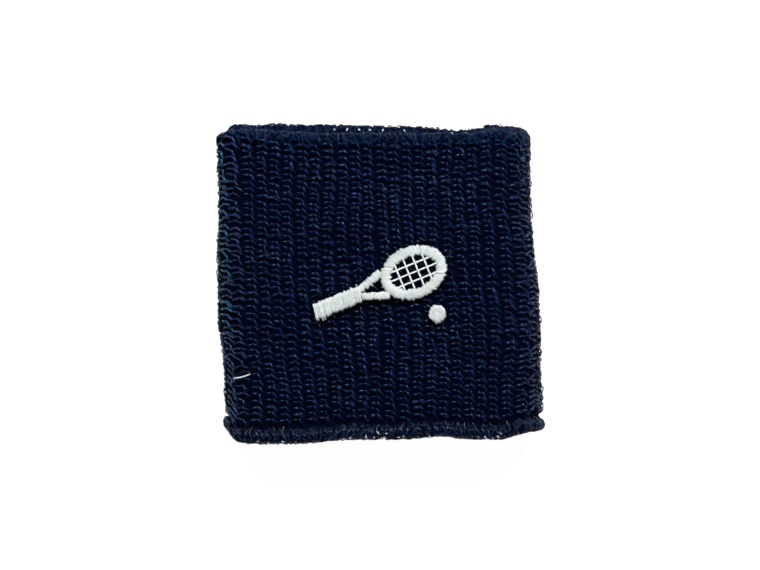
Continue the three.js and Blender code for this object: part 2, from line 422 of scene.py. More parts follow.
@dataclass(frozen=True)
class YarnFinish:
    """Spun yarn: its dye varies from strand to strand, and painted shade darkens it towards its root."""

    name: str
    dyes: tuple[Triple, ...]
    # root: what is left of the colour where the lift is 0, as painted shade deep among the loops
    root: float
    sheen: float = 0.0
    sheen_roughness: float = 0.45
    roughness: Pair = (0.20, 0.32)
    shine: float = 0.26
    shine_colour: Triple = (0.55, 0.75, 1.0)
    mottle: Pair = (0.72, 1.25)
    fibre_depth: float = 0.02

    def material(self) -> Material:
        """Builds the material of a yarn that carries its dye, its lift for painted shade and the run of its
        fibres.

        Returns:
            The material.
        """
        board = NodeBoard(
            self.name,
            Sheen_Weight=self.sheen,
            Sheen_Roughness=self.sheen_roughness,
            Specular_IOR_Level=self.shine,
            Specular_Tint=self.shine_colour,
        )
        last = max(len(self.dyes) - 1, 1)
        stops = [(index / last, colour) for index, colour in enumerate(self.dyes)]
        dye = board.ramp(board.attribute("dye", "Fac"), stops)
        # Painted shade: the colour is darkened from full down to root where the lift is low.
        depth = board.to_range(board.attribute("lift", "Fac"), self.root, 1.0)
        run = board.stretch(board.attribute("run", "Vector"), (0.8, 3.0, 3.0))
        fibres = board.noise(run, 2.0, 3.0)
        mottle = board.to_range(fibres, *self.mottle)
        board.feed("Base Color", board.multiply(board.multiply(dye, depth), mottle))
        board.feed("Roughness", board.to_range(fibres, *self.roughness))
        board.bump(fibres, self.fibre_depth, 0.6)
        return board.material


@dataclass(frozen=True)
class KnitFinish:
    """The plain knitted side of a cloth: rows of small V stitches, with painted shade in the valleys between
    them.
    """

    name: str
    valley_painted_shade: Triple
    ridge: Triple
    stitch: float = 0.9

    def material(self) -> Material:
        """Builds the material of a cloth that carries its weave.

        Returns:
            The material.
        """
        board = NodeBoard(self.name, Specular_IOR_Level=0.02)
        place = board.attribute("weave", "Vector")
        bands = board.add("ShaderNodeTexWave", wave_type="BANDS", bands_direction="DIAGONAL")
        bands.inputs["Scale"].default_value = 1.0 / self.stitch
        bands.inputs["Distortion"].default_value = 1.5
        bands.inputs["Detail"].default_value = 1.0
        board.join(place, bands.inputs["Vector"])
        rows = bands.outputs["Fac"]
        speckle = board.noise(place, 3.0, 3.0)
        # Painted shade: the colour follows the bump, darker in the valleys.
        colour = board.ramp(rows, [(0.1, self.valley_painted_shade), (0.9, self.ridge)])
        board.feed("Base Color", board.multiply(colour, board.to_range(speckle, 0.6, 1.4)))
        board.feed("Roughness", board.to_range(speckle, 0.8, 0.98))
        board.bump(rows, 0.25, 0.8)
        return board.material


@dataclass(frozen=True)
class FleeceFinish:
    """Non-woven stabiliser: pressed white fibres in all directions."""

    name: str
    thin: Triple
    thick: Triple

    def material(self) -> Material:
        """Builds the sheet's material.

        Returns:
            The material.
        """
        board = NodeBoard(self.name, Specular_IOR_Level=0.2, Sheen_Weight=0.1)
        place = board.add("ShaderNodeTexCoord").outputs["Object"]
        fibres = board.noise(board.stretch(place, (900.0, 900.0, 200.0)), 1.0, 6.0)
        board.feed("Base Color", board.ramp(fibres, [(0.3, self.thin), (0.7, self.thick)]))
        board.feed("Roughness", board.to_range(fibres, 0.75, 0.95))
        board.bump(fibres, 0.08, 0.7)
        return board.material


@dataclass(frozen=True)
class FloorFinish:
    """Matt white paper, lit a little from below as on a light table."""

    name: str
    paper: Triple
    grain: Triple
    glow: float

    def material(self) -> Material:
        """Builds the floor's material.

        Returns:
            The material.
        """
        white = (1.0, 1.0, 1.0)
        board = NodeBoard(
            self.name, Specular_IOR_Level=0.1, Emission_Color=white, Emission_Strength=self.glow
        )
        grain = board.noise(board.add("ShaderNodeTexCoord").outputs["Object"], 400.0, 2.0)
        board.feed("Base Color", board.ramp(grain, [(0.3, self.grain), (0.7, self.paper)]))
        board.feed("Roughness", board.to_range(grain, 0.85, 0.95))
        return board.material


FACE_TERRY = YarnFinish(
    name="outer_terry_yarn",
    dyes=(
        (0.0028, 0.0054, 0.050),
        (0.0005, 0.0069, 0.044),
        (0.0005, 0.0091, 0.048),
        (0.0003, 0.0130, 0.046),
        (0.0034, 0.0072, 0.060),
        # The last two dyes are paler: painted sheen for the side folds.
        (0.0006, 0.0400, 0.100),
        (0.0020, 0.0560, 0.125),
    ),
    root=0.04,
    shine=0.38,
)
RIM_TERRY = YarnFinish(
    name="rim_terry_yarn",
    dyes=(
        (0.0026, 0.0060, 0.034),
        (0.0010, 0.0078, 0.033),
        (0.0012, 0.0098, 0.037),
        (0.0008, 0.0115, 0.036),
        (0.0034, 0.0086, 0.044),
    ),
    root=0.10,
    shine=0.08,
)
HEM_TERRY = YarnFinish(
    name="hem_terry_yarn",
    dyes=((0.0007, 0.0030, 0.014), (0.0007, 0.0050, 0.019), (0.0026, 0.0046, 0.027), (0.0044, 0.0140, 0.044)),
    root=0.1,
)
LINING_TERRY = YarnFinish(
    name="inner_terry_yarn",
    dyes=((0.0030, 0.0060, 0.028), (0.0020, 0.0085, 0.030), (0.0040, 0.0080, 0.036)),
    root=0.12,
)
SEAM_YARN = YarnFinish(
    name="seam_thread",
    dyes=((0.0010, 0.0030, 0.012), (0.0016, 0.0040, 0.016)),
    root=0.7,
    roughness=(0.5, 0.7),
)
SATIN_THREAD = YarnFinish(
    name="embroidery_thread",
    dyes=((0.53, 0.58, 0.575), (0.60, 0.64, 0.65), (0.565, 0.605, 0.58)),
    root=0.35,
    roughness=(0.42, 0.6),
    shine=0.16,
    shine_colour=(1.0, 1.0, 1.0),
    fibre_depth=0.03,
)
UNDERLAY_THREAD = YarnFinish(
    name="underlay_thread",
    dyes=((0.55, 0.60, 0.59), (0.62, 0.66, 0.65)),
    root=0.8,
    roughness=(0.6, 0.75),
)
BOBBIN_THREAD = YarnFinish(
    name="bobbin_thread",
    dyes=((0.78, 0.78, 0.75), (0.85, 0.85, 0.82)),
    root=0.8,
    roughness=(0.5, 0.65),
)
ELASTIC_YARN = YarnFinish(
    name="elastic_yarn",
    dyes=((0.58, 0.66, 0.70), (0.68, 0.74, 0.77)),
    root=0.75,
    sheen=0.15,
    roughness=(0.5, 0.7),
)
# Both colours are far darker than the loops' yarn: partly the cloth's own navy, partly painted shade in the
# gaps between the loops.
GROUND_KNIT = KnitFinish("ground_knit", (0.0002, 0.0007, 0.0042), (0.0007, 0.0021, 0.0110))
BACKING_FLEECE = FleeceFinish("backing_fleece", (0.62, 0.62, 0.58), (0.86, 0.86, 0.83))
PAPER = FloorFinish("floor_paper", (0.12, 0.12, 0.12), (0.11, 0.11, 0.11), 0.98)


# ---------------------------------------------------------------- the cloth's shape


def add_up(shapes: tuple[Ramp | Bump, ...], place: Array) -> Array:
    """The sum of several heights at each place."""
    return sum(shape.at(place) for shape in shapes)


@dataclass(frozen=True)
class Lie:
    """How the soft band lies, away from an even sleeve.

    It leans, bulges in the middle, and its back wall slips aside and shows behind the front one.
    Shares run from 0 to 1; behind runs from -1 on the front face to 1 on the back.
    """

    steady: float = 5.0
    fold_margin: float = 2.0
    lean: float = 1.25
    lean_spread: float = 0.2
    lean_height: float = -3.0
    lean_reach: float = 18.0
    stretch: float = 1.002
    slip: float = 0.33
    bulge: Bump = Bump(0.9, -3.0, 14.0)
    left_side: Ramp = Ramp(1.0, -20.0, -41.0)
    left_end: Ramp = Ramp(1.0, -30.0, -37.0)
    left_dent: Bump = Bump(-0.4, -13.0, 7.0)
    back_slip: float = 1.7
    back_slip_left: float = 1.1
    shoulder: Ramp = Ramp(1.0, 8.0, 22.0)
    shoulder_width: float = 0.45
    shoulder_front: float = 0.75
    right_side: Ramp = Ramp(1.0, 20.0, 41.0)
    right_foot: Ramp = Ramp(0.4, 30.0, 41.0)
    foot: Ramp = Ramp(1.0, -18.0, -30.0)
    back_foot: float = 0.9
    waist: float = 0.35
    waist_drop: float = 0.4
    turning: Ramp = Ramp(1.0, -0.55, 0.62)
    left_turning: Ramp = Ramp(1.0, -0.12, 0.22)
    left_slipping: Ramp = Ramp(1.0, -0.55, -0.05)
    front_level: float = -1.0
    front_rim: tuple[Ramp | Bump, ...] = (
        Ramp(0.9, -14.0, -33.0),
        Ramp(-0.7, -35.0, -40.0),
        Bump(1.3, 31.0, 3.4),
        Ramp(0.8, 32.0, 38.5),
    )
    back_level: float = 1.85
    back_tilt: float = -0.7
    back_rim: tuple[Ramp | Bump, ...] = (
        Ramp(-0.6, -24.0, -36.0),
        Bump(-0.7, 22.0, 7.0),
        Bump(0.9, 31.0, 3.4),
        Ramp(1.3, 32.0, 38.5),
    )
    corner_dip: float = 1.3
    left_corner: float = 0.7
    square_right: Ramp = Ramp(0.6, 34.0, 40.0)
    square_start: float = 9.0
    square_end: float = 3.0
    hem: tuple[Ramp | Bump, ...] = (
        Ramp(1.0, -24.0, -6.0),
        Bump(0.6, 14.0, 6.0),
        Ramp(1.5, 29.0, 38.5),
        Ramp(3.2, -36.5, -41.0),
    )
    hem_corner: float = 0.35
    hem_share: Pair = (0.9, -0.3)
    hem_shift: Pair = (-0.25, 0.6)
    swell: Ripple = Ripple(3, 26.0, 60.0, 0.28)


@dataclass(frozen=True)
class BandForm:
    """The flattened sleeve, and the way from a place on its cloth to a point in space.

    A place on the cloth has three numbers: round, from the middle of the front to the right and on
    round the band; up, from the outer layer's lower edge over the upper rim and down the lining;
    and lift, its height above the ground cloth on the side of the loops.
    """

    half_width: float
    thickness: float
    lower_rim: float
    upper_rim: float
    lower_edge: float
    wall: float
    ground_inset: float = 1.5
    corner_round: float = 1.2
    lie: Lie = Lie()
    crease_place: float = 35.2
    crease_width: float = 0.55
    crease_edge: float = 0.5
    crease_reach: float = 4.5
    crease_height: Ramp = Ramp(1.0, 17.0, 8.0)

    @property
    def fold_radius(self) -> float:
        """Radius of the side folds, outside."""
        return self.thickness / 2

    @property
    def fold_centre(self) -> float:
        """Distance of the side folds' centres from the middle."""
        return self.half_width - self.fold_radius

    @property
    def ground_radius(self) -> float:
        """Radius of the side folds at the ground cloth."""
        return self.fold_radius - self.ground_inset

    @property
    def fold_arc(self) -> float:
        """Length of the ground cloth round one side fold."""
        return math.pi * self.ground_radius

    @property
    def girth(self) -> float:
        """Length once round the outer ground cloth."""
        return 4 * self.fold_centre + 2 * self.fold_arc

    @property
    def rim_radius(self) -> float:
        """Radius of the ground cloth's turn at the upper rim."""
        return (self.wall - 2 * self.ground_inset) / 2

    @property
    def outer_length(self) -> float:
        """Length of the outer ground cloth, up to its turn."""
        return self.upper_rim - self.ground_inset - self.rim_radius - self.lower_edge

    @property
    def turn_length(self) -> float:
        """Length of the ground cloth round the upper rim."""
        return math.pi * self.rim_radius

    @property
    def full_length(self) -> float:
        """Length of the ground cloth from edge to edge."""
        return 2 * self.outer_length + self.turn_length

    def section(self, round_: Array, inset: Array) -> tuple[Array, Array]:
        """The flattened ring.

        Args:
            round_: Places round the band.
            inset: Distances inside the outer face.

        Returns:
            x and z.
        """
        centre = self.fold_centre
        radius = self.fold_radius - inset
        place = np.mod(round_, self.girth)
        right = place - centre
        back = right - self.fold_arc
        left = back - 2 * centre
        end = left - self.fold_arc
        where = [right < 0, back < 0, left < 0, end < 0]
        right_turn, left_turn = right / self.ground_radius, left / self.ground_radius
        right_x = centre + radius * np.sin(right_turn)
        left_x = -centre - radius * np.sin(left_turn)
        x = np.select(where, [place, right_x, centre - back, left_x], end - centre)
        heights = [radius, radius * np.cos(right_turn), -radius, -radius * np.cos(left_turn)]
        return x, np.select(where, heights, radius) + self.fold_radius

    def profile(self, up: Array, lift: Array) -> tuple[Array, Array]:
        """The wall's section, from the outer layer over the rim to the lining.

        Args:
            up: Places along the ground cloth.
            lift: Heights above it.

        Returns:
            The distance inside the outer face, and y.
        """
        turn = np.clip((up - self.outer_length) / self.rim_radius, 0.0, math.pi)
        rising = np.minimum(up, self.outer_length)
        falling = np.maximum(up - self.outer_length - self.turn_length, 0.0)
        inset = self.ground_inset + self.rim_radius * (1 - np.cos(turn)) - lift * np.cos(turn)
        y = self.lower_edge + rising - falling + (self.rim_radius + lift) * np.sin(turn)
        return inset, y

    def settle(self, x: Array, y: Array, z: Array) -> Array:
        """Moves points from the even sleeve to how the soft band lies.

        Args:
            x: Across the band.
            y: Along the band.
            z: Above the floor.

        Returns:
            The points.
        """
        lie = self.lie
        behind = 1 - z / self.fold_radius
        upper = smooth_step(y, lie.steady, self.upper_rim)
        lower = smooth_step(-y, lie.steady, -self.lower_rim)
        fold = smooth_step(np.abs(x), self.fold_centre - lie.fold_margin, self.half_width)
        edge = fold * (1 - behind**2)
        left = lie.left_end.at(x)
        depth = lie.turning.at(behind) * (1 - left)
        aside = depth + lie.left_slipping.at(behind) * left
        depth = depth + lie.left_turning.at(behind) * left
        reach = x / self.half_width

        moved_x = x * (lie.stretch + lie.bulge.at(y) / self.half_width) - lie.slip
        moved_x -= (lie.lean + lie.lean_spread * reach) * np.tanh((y - lie.lean_height) / lie.lean_reach)
        slip = (lie.back_slip + lie.back_slip_left * left) * aside * upper
        moved_x += lie.left_side.at(x) * (lie.left_dent.at(y) + slip)
        shoulder = lie.shoulder_width + lie.shoulder_front * (1 - aside) * upper
        moved_x -= left * lie.shoulder.at(y) * shoulder
        moved_x += lie.right_foot.at(x) * lie.foot.at(y)
        moved_x += lie.back_foot * behind * lower * lie.right_side.at(x)
        waist = Bump(lie.waist, self.lower_edge - lie.waist_drop, 1.0)
        moved_x -= waist.at(y) * fold * np.sign(x)

        front_rim = lie.front_level + add_up(lie.front_rim, x)
        back_rim = lie.back_level + lie.back_tilt * reach + add_up(lie.back_rim, x)
        moved_y = y + upper * (front_rim + (back_rim - front_rim) * depth)
        kept = left * (lie.left_corner + (1 - lie.left_corner) * depth)
        moved_y -= upper * lie.corner_dip * (1 - kept) * edge
        square = (left + lie.square_right.at(x)) * self.squareness(x, z)
        moved_y += square * smooth_step(y, self.upper_rim - lie.square_start, self.upper_rim - lie.square_end)
        hang = add_up(lie.hem, x) + lie.hem_corner * edge
        shift = lie.hem_shift[0] + lie.hem_shift[1] * behind
        moved_y += lower * (hang * (lie.hem_share[0] + lie.hem_share[1] * behind) + shift)

        raised = z / self.thickness
        moved_z = z + raised * lie.swell.at(x, y) * (1 - upper) * (1 - lower)
        return np.stack([moved_x, moved_y, moved_z], axis=-1)

    def squareness(self, x: Array, z: Array) -> Array:
        """How much higher the wall would stand at the rim if its edges were only a little rounded.

        Args:
            x: Across the band.
            z: Above the floor.

        Returns:
            The differences.
        """
        radial = np.hypot(np.maximum(np.abs(x) - self.fold_centre, 0.0), z - self.fold_radius)
        inset = np.clip(self.fold_radius - radial, 0.0, self.wall)
        edge = np.minimum(inset, self.wall - inset)
        half, small = self.wall / 2, self.corner_round
        full = half - np.sqrt(half**2 - (half - edge) ** 2)
        return full - small + np.sqrt(small**2 - np.maximum(small - edge, 0.0) ** 2)

    def place(self, round_: Array, up: Array, lift: Array) -> Array:
        """The point in space of a place on the cloth.

        Args:
            round_: Places round the band.
            up: Places along the ground cloth.
            lift: Heights above it.

        Returns:
            The points.
        """
        inset, y = self.profile(up, lift)
        x, z = self.section(round_, inset)
        return self.settle(x, y, z)

    def bend(self, round_: Array, up: Array) -> tuple[Array, Array]:
        """How sharply the cloth is bent round the side folds and over the upper rim.

        Args:
            round_: Places round the band.
            up: Places along the ground cloth.

        Returns:
            The two bends, from 0 on the flat faces to 1.
        """
        arc = self.fold_arc
        place = np.mod(round_, self.girth)
        right = np.abs(place - self.fold_centre - arc / 2)
        left = np.abs(place - 3 * self.fold_centre - 1.5 * arc)
        side = smooth_step(np.minimum(right, left), arc * 0.5, arc * 0.16)
        over = np.abs(up - self.outer_length - self.turn_length / 2)
        return side, smooth_step(over, self.turn_length * 0.75, self.turn_length * 0.35)

    def is_back(self, round_: Array) -> Array:
        """Whether places round the band lie on the back wall."""
        half = self.fold_centre + self.fold_arc / 2
        return np.abs(np.mod(round_, self.girth) - 2 * half) < half

    def behind_at(self, x: float) -> float:
        """The place round the band that lies behind x on the front."""
        return 2 * self.fold_centre + self.fold_arc - x

    def crease(self, round_: Array, up: Array) -> Array:
        """How far the loops are parted sideways by the small upright crease near the lower right.

        Args:
            round_: Places round the band.
            up: Places along the ground cloth.

        Returns:
            The sideways moves.
        """
        aside = round_ - self.crease_place
        parted = np.tanh(aside / self.crease_edge) * np.exp(-np.abs(aside) / self.crease_reach)
        return self.crease_width * self.crease_height.at(up) * parted


# ---------------------------------------------------------------- yarns


@dataclass
class Strands:
    """A set of yarns that are drawn alike.

    heading is the direction from which the plies' angle, winding, is counted, and parting is their
    distance from the middle line, in the ply's own radius.
    """

    paths: Array
    radius: Array
    dye: Array
    # lift is a painted-shade factor: 1 leaves the colour, 0 darkens it to the finish's root.
    lift: Array
    heading: Array | None = None
    winding: Array | None = None
    parting: Array | None = None

    def part(self, keep: Array) -> "Strands":
        """The strands that a mask keeps."""
        return Strands(*(None if part is None else part[keep] for part in vars(self).values()))

    def together(self, other: "Strands") -> "Strands":
        """These strands and others as one set, without headings."""
        names = ("paths", "radius", "dye", "lift")
        return Strands(*(np.concatenate([getattr(self, name), getattr(other, name)]) for name in names))


@dataclass(frozen=True)
class Spinner:
    """Turns middle lines into plied yarn: tubes with a twisted, lobed section."""

    sides: int = 8
    plies: int = 2
    ply_depth: float = 0.2
    twist: float = 1.1
    lowest: float = 0.02
    dye_run: float = 40.0
    patch_margin: float = 0.04

    def frames(self, paths: Array, heading: Array | None) -> tuple[Array, Array]:
        """Two directions across each yarn, carried along it without turning.

        Args:
            paths: The middle lines.
            heading: Where the first direction points at each yarn's start, or None for anywhere.

        Returns:
            The two directions at each ring.
        """
        tangent = np.gradient(paths, axis=1)
        tangent /= np.maximum(np.linalg.norm(tangent, axis=-1, keepdims=True), 1e-9)
        carried = heading
        if heading is None:
            helper = np.eye(3)[np.abs(tangent[:, 0]).argmin(axis=1)]
            carried = np.cross(tangent[:, 0], helper)
        normal = np.empty_like(paths)
        for ring in range(paths.shape[1]):
            here = tangent[:, ring]
            carried = carried - (carried * here).sum(axis=1, keepdims=True) * here
            carried /= np.maximum(np.linalg.norm(carried, axis=1, keepdims=True), 1e-9)
            normal[:, ring] = carried
        return normal, np.cross(tangent, normal)

    def open_plies(self, yarns: Strands) -> Strands:
        """Parts each yarn into two plies that wind round each other.

        Args:
            yarns: The yarns, with their heading, winding and parting.

        Returns:
            The plies.
        """
        normal, side = self.frames(yarns.paths, yarns.heading)
        away = np.cos(yarns.winding)[..., None] * normal + np.sin(yarns.winding)[..., None] * side
        away *= (yarns.parting * yarns.radius)[..., None]
        first = Strands(yarns.paths + away, yarns.radius, yarns.dye, yarns.lift)
        second = Strands(yarns.paths - away, yarns.radius, yarns.dye, yarns.lift)
        return first.together(second)

    def spin(self, name: str, strands: Strands, finish: Material) -> Piece:
        """Makes one mesh of all the strands.

        Args:
            name: The piece's name.
            strands: The yarns.
            finish: Their material.

        Returns:
            The new object.
        """
        count, rings, _ = strands.paths.shape
        shape = (count, rings, self.sides)
        normal, side = self.frames(strands.paths, strands.heading)
        run = distances(strands.paths)
        start = strands.dye[:, None] * self.dye_run
        around = math.tau * np.arange(self.sides) / self.sides
        angle = around + (run * self.twist + start)[..., None]
        reach = strands.radius[..., None] * (1 + self.ply_depth * np.cos(self.plies * around))
        points = (
            strands.paths[:, :, None]
            + (reach * np.cos(angle))[..., None] * normal[:, :, None]
            + (reach * np.sin(angle))[..., None] * side[:, :, None]
        )
        points[..., 2] = np.maximum(points[..., 2], self.lowest)
        first = np.arange(count)[:, None, None] * rings * self.sides
        faces = (grid_faces(rings, self.sides)[None] + first).reshape(-1, 4)
        piece = add_piece(name, points, faces, finish)
        self.map_patches(piece.data, count, rings)
        turn = np.broadcast_to(around, shape)
        along = np.broadcast_to((run + start)[..., None], shape)
        carry(piece.data, "dye", np.broadcast_to(strands.dye[:, None, None], shape))
        # lift: how much painted shade each point gets, 1 for none.
        carry(piece.data, "lift", np.broadcast_to(strands.lift[..., None], shape))
        carry(piece.data, "run", np.stack([along, np.cos(turn), np.sin(turn)], axis=-1))
        return piece

    def map_patches(self, mesh: bpy.types.Mesh, count: int, rings: int) -> None:
        """Gives each strand a square patch of its own on the bake map.

        Args:
            mesh: The strands' mesh.
            count: How many strands.
            rings: Points on each strand.
        """
        across = math.ceil(math.sqrt(count))
        start = np.stack(np.meshgrid(np.arange(rings - 1), np.arange(self.sides), indexing="ij"), axis=-1)
        corner = start[:, :, None] + np.array([[0, 0], [0, 1], [1, 1], [1, 0]])
        corner = corner / np.array([rings - 1, self.sides])
        index = np.arange(count)
        origin = np.stack([index % across, index // across], axis=-1)[:, None, None, None, :]
        patch = (origin + self.patch_margin + (1 - 2 * self.patch_margin) * corner[None]) / across
        layer = mesh.uv_layers.new(name=BAKE_LAYER)
        layer.uv.foreach_set("vector", patch.astype(np.float32).ravel())


# ---------------------------------------------------------------- embroidery


@dataclass(frozen=True)
class Column:
    """One satin column: stitches from points on one edge to points on the other."""

    start: Array
    end: Array


@dataclass(frozen=True)
class SatinStitch:
    """One stitch's arch over its column, and how uneven the stitches are."""

    share: Row = (0.0, 0.012, 0.07, 0.2, 0.5, 0.8, 0.93, 0.988, 1.0)
    rise: Row = (0.0, 0.5, 0.8, 0.95, 1.0, 0.95, 0.8, 0.5, 0.0)
    rings: int = 19
    reach: Pair = (0.02, 0.15)
    sway: float = 0.035
    short_dip: Bump = Bump(0.16, 0.0, 1.4)
    stoutness: Pair = (0.92, 1.08)


@dataclass(frozen=True)
class RacketEmblem:
    """The racket and ball in white satin stitch, with what lies under and behind it."""

    face: float
    centre: Pair = (0.0, -0.5)
    tilt: float = math.radians(22.0)
    head_centre: float = 9.25
    head_length: float = 17.0
    head_width: float = 13.0
    head_slant: float = 0.05
    frame_width: float = 2.3
    handle_start: float = -17.75
    handle_end: float = -5.25
    handle_width: float = 3.8
    handle_slant: float = 0.28
    handle_margin: float = 0.15
    arm_width: float = 1.7
    arm_seat: Pair = (0.25, 0.33)
    gap: float = 0.3
    head_gap: float = 0.25
    ball_place: Pair = (11.0, -12.0)
    ball_radius: float = 2.1
    ball_margin: float = 0.12
    main_strings: int = 3
    cross_strings: int = 4
    string_radius: float = 0.24
    string_tuck: float = 0.25
    string_stitch: float = 1.9
    thread: float = 0.21
    pitch: float = 0.34
    top: float = 0.4
    floor: float = -0.55
    stitch: SatinStitch = SatinStitch()
    underlay_height: float = -0.82
    bobbin_height: float = -2.97
    backing_height: float = -2.42
    backing_size: Pair = (42.0, 32.0)
    backing_corner: float = 3.0
    backing_thickness: float = 0.25
    backing_wave: Ripple = Ripple(12, 7.0, 20.0, 0.05)

    def to_emblem(self, x: Array, y: Array) -> tuple[Array, Array]:
        """Turns places on the band's face into the emblem's own.

        Args:
            x: Across the band.
            y: Along the band.

        Returns:
            The places along and across the racket.
        """
        east, north = x - self.centre[0], y - self.centre[1]
        cos, sin = math.cos(self.tilt), math.sin(self.tilt)
        return east * cos + north * sin, north * cos - east * sin

    def to_band(self, points: Array) -> Array:
        """Turns the emblem's own points, with heights from the face, into the band's.

        Args:
            points: Points along and across the racket and above the face.

        Returns:
            The points in the band's frame.
        """
        cos, sin = math.cos(self.tilt), math.sin(self.tilt)
        x = points[..., 0] * cos - points[..., 1] * sin + self.centre[0]
        y = points[..., 0] * sin + points[..., 1] * cos + self.centre[1]
        return np.stack([x, y, points[..., 2] + self.face], axis=-1)

    def arm_line(self, side: int) -> tuple[Array, Array]:
        """The middle line of one throat arm.

        Args:
            side: 1 for the upper arm and -1 for the lower.

        Returns:
            Its start and end.
        """
        start = np.array([self.handle_end + self.gap, side * (self.arm_width + self.gap) / 2])
        reach = self.head_centre - self.arm_seat[0] * self.head_length
        return start, np.array([reach, side * self.arm_seat[1] * self.head_width])

    def clearance(self, x: Array, y: Array) -> tuple[Array, Array]:
        """How far places on the face are from the stitches.

        Args:
            x: Across the band.
            y: Along the band.

        Returns:
            The distance from the nearest stitch, below 0 under one; and how deep each place is
            inside the head's outline, below 0 outside it.
        """
        u, v = self.to_emblem(x, y)
        half_length, half_width = self.head_length / 2, self.head_width / 2
        radial = np.hypot((u - self.head_centre) / half_length, v / half_width)
        inside = (1 - radial) * (half_length + half_width) / 2
        ring = np.abs(inside - self.frame_width / 2) - self.frame_width / 2
        middle = (self.handle_start + self.handle_end) / 2
        along = np.abs(u - middle) - (self.handle_end - self.handle_start) / 2
        handle = np.maximum(along, np.abs(v) - self.handle_width / 2)
        ball = np.hypot(u - self.ball_place[0], v - self.ball_place[1]) - self.ball_radius
        nearest = np.minimum(np.minimum(ring, handle), ball)
        for side in (1, -1):
            start, end = self.arm_line(side)
            run = end - start
            share = np.clip(((u - start[0]) * run[0] + (v - start[1]) * run[1]) / (run @ run), 0, 1)
            away = np.hypot(u - start[0] - share * run[0], v - start[1] - share * run[1])
            nearest = np.minimum(nearest, away - self.arm_width / 2)
        return nearest, inside

    def head_column(self, inset: float, pitch: float) -> Column:
        """The column round the head.

        Args:
            inset: How far its stitches stay inside its outline.
            pitch: The distance between stitches.

        Returns:
            The column.
        """
        mean = (self.head_length + self.head_width) / 2 - self.frame_width
        turn = np.linspace(0.0, math.tau, round(math.pi * mean / pitch), endpoint=False)
        edges: list[Array] = []
        for grow, slant in ((self.frame_width - inset, -self.head_slant), (inset, self.head_slant)):
            length, width = self.head_length / 2 - grow, self.head_width / 2 - grow
            x = self.head_centre + length * np.cos(turn + slant)
            edges.append(np.stack([x, width * np.sin(turn + slant)], axis=-1))
        return Column(*edges)

    def handle_column(self, inset: float, pitch: float) -> Column:
        """The handle's column.

        Args:
            inset: How far its stitches stay inside its outline.
            pitch: The distance between stitches.

        Returns:
            The column.
        """
        count = round((self.handle_end - self.handle_start - 2 * inset) / pitch)
        margin = inset + self.handle_margin
        x = np.linspace(self.handle_start + margin, self.handle_end - margin, count)
        half = np.full(count, self.handle_width / 2 - inset)
        low = np.stack([x - self.handle_slant, -half], axis=-1)
        return Column(low, np.stack([x + self.handle_slant, half], axis=-1))

    def arm_column(self, side: int, inset: float, pitch: float) -> Column:
        """One throat arm's column.

        Args:
            side: 1 for the upper arm and -1 for the lower.
            inset: How far its stitches stay inside its outline.
            pitch: The distance between stitches.

        Returns:
            The column.
        """
        start, end = self.arm_line(side)
        length = np.linalg.norm(end - start)
        run = (end - start) / length
        middle = start + np.linspace(0.0, 1.0, round(length / pitch))[:, None] * (end - start)
        u, v = (middle - [self.head_centre, 0.0]).T
        outline = np.array([self.head_length, self.head_width]) / 2 + self.head_gap
        middle = middle[np.hypot(u / outline[0], v / outline[1]) > 1]
        upright = np.linspace(1.0, 0.0, len(middle))[:, None] ** 2
        lean = np.array([-run[1], run[0]]) * (1 - upright) + np.array([0.0, 1.0]) * upright
        half = self.arm_width / 2 - inset
        return Column(middle - half * lean, middle + half * lean)

    def ball_column(self, inset: float, pitch: float) -> Column:
        """The ball's column.

        Args:
            inset: How far its stitches stay inside its outline.
            pitch: The distance between stitches.

        Returns:
            The column.
        """
        radius = self.ball_radius - inset
        reach = radius - self.ball_margin
        x = np.linspace(-reach, reach, round(2 * radius / pitch))
        half = np.sqrt(radius**2 - x**2)
        middle = x + self.ball_place[0]
        low = np.stack([middle, self.ball_place[1] - half], axis=-1)
        return Column(low, np.stack([middle, self.ball_place[1] + half], axis=-1))

    def columns(self, inset: float, pitch: float, arm_share: float = 0.6) -> dict[str, Column]:
        """All the columns.

        Args:
            inset: How far their stitches stay inside their outlines.
            pitch: The distance between stitches.
            arm_share: How much of the inset the narrow arms take.

        Returns:
            The columns by name.
        """
        return {
            "head": self.head_column(inset, pitch),
            "handle": self.handle_column(inset, pitch),
            "upper_arm": self.arm_column(1, inset * arm_share, pitch),
            "lower_arm": self.arm_column(-1, inset * arm_share, pitch),
            "ball": self.ball_column(inset, pitch),
        }

    def satin(self, column: Column, seed: int) -> Strands:
        """Lays satin stitches over a column: each arches over it and dives at both edges.

        Args:
            column: The column.
            seed: For the small unevenness of the stitches.

        Returns:
            The stitches.
        """
        rng = np.random.default_rng(seed)
        stitch = self.stitch
        one_each = (len(column.start), 1)
        length = np.linalg.norm(column.end - column.start, axis=1, keepdims=True)
        way = (column.end - column.start) / length
        aside = np.stack([-way[:, 1], way[:, 0]], axis=-1)
        start = column.start - way * rng.normal(*stitch.reach, one_each)
        end = column.end + way * rng.normal(*stitch.reach, one_each)
        start += aside * rng.normal(0.0, stitch.sway, one_each)
        end += aside * rng.normal(0.0, stitch.sway, one_each)
        flat = start[:, None] + np.array(stitch.share)[None, :, None] * (end - start)[:, None]
        crown = self.top - self.thread + rng.normal(0.0, stitch.sway, one_each)
        crown = crown - stitch.short_dip.at(length)
        height = self.floor + np.array(stitch.rise) * (crown - self.floor)
        points = np.concatenate([flat, height[..., None]], axis=-1)
        paths = spline_weights(len(stitch.share), stitch.rings)[None] @ points
        # Painted shade: each stitch is darker where it dives into the cloth at both edges.
        shade = np.clip((paths[..., 2] - self.floor) / (self.top - self.floor), 0.0, 1.0)
        radius = np.full(paths.shape[:2], self.thread) * rng.uniform(*stitch.stoutness, one_each)
        return Strands(self.to_band(paths), radius, rng.random(len(paths)), shade)

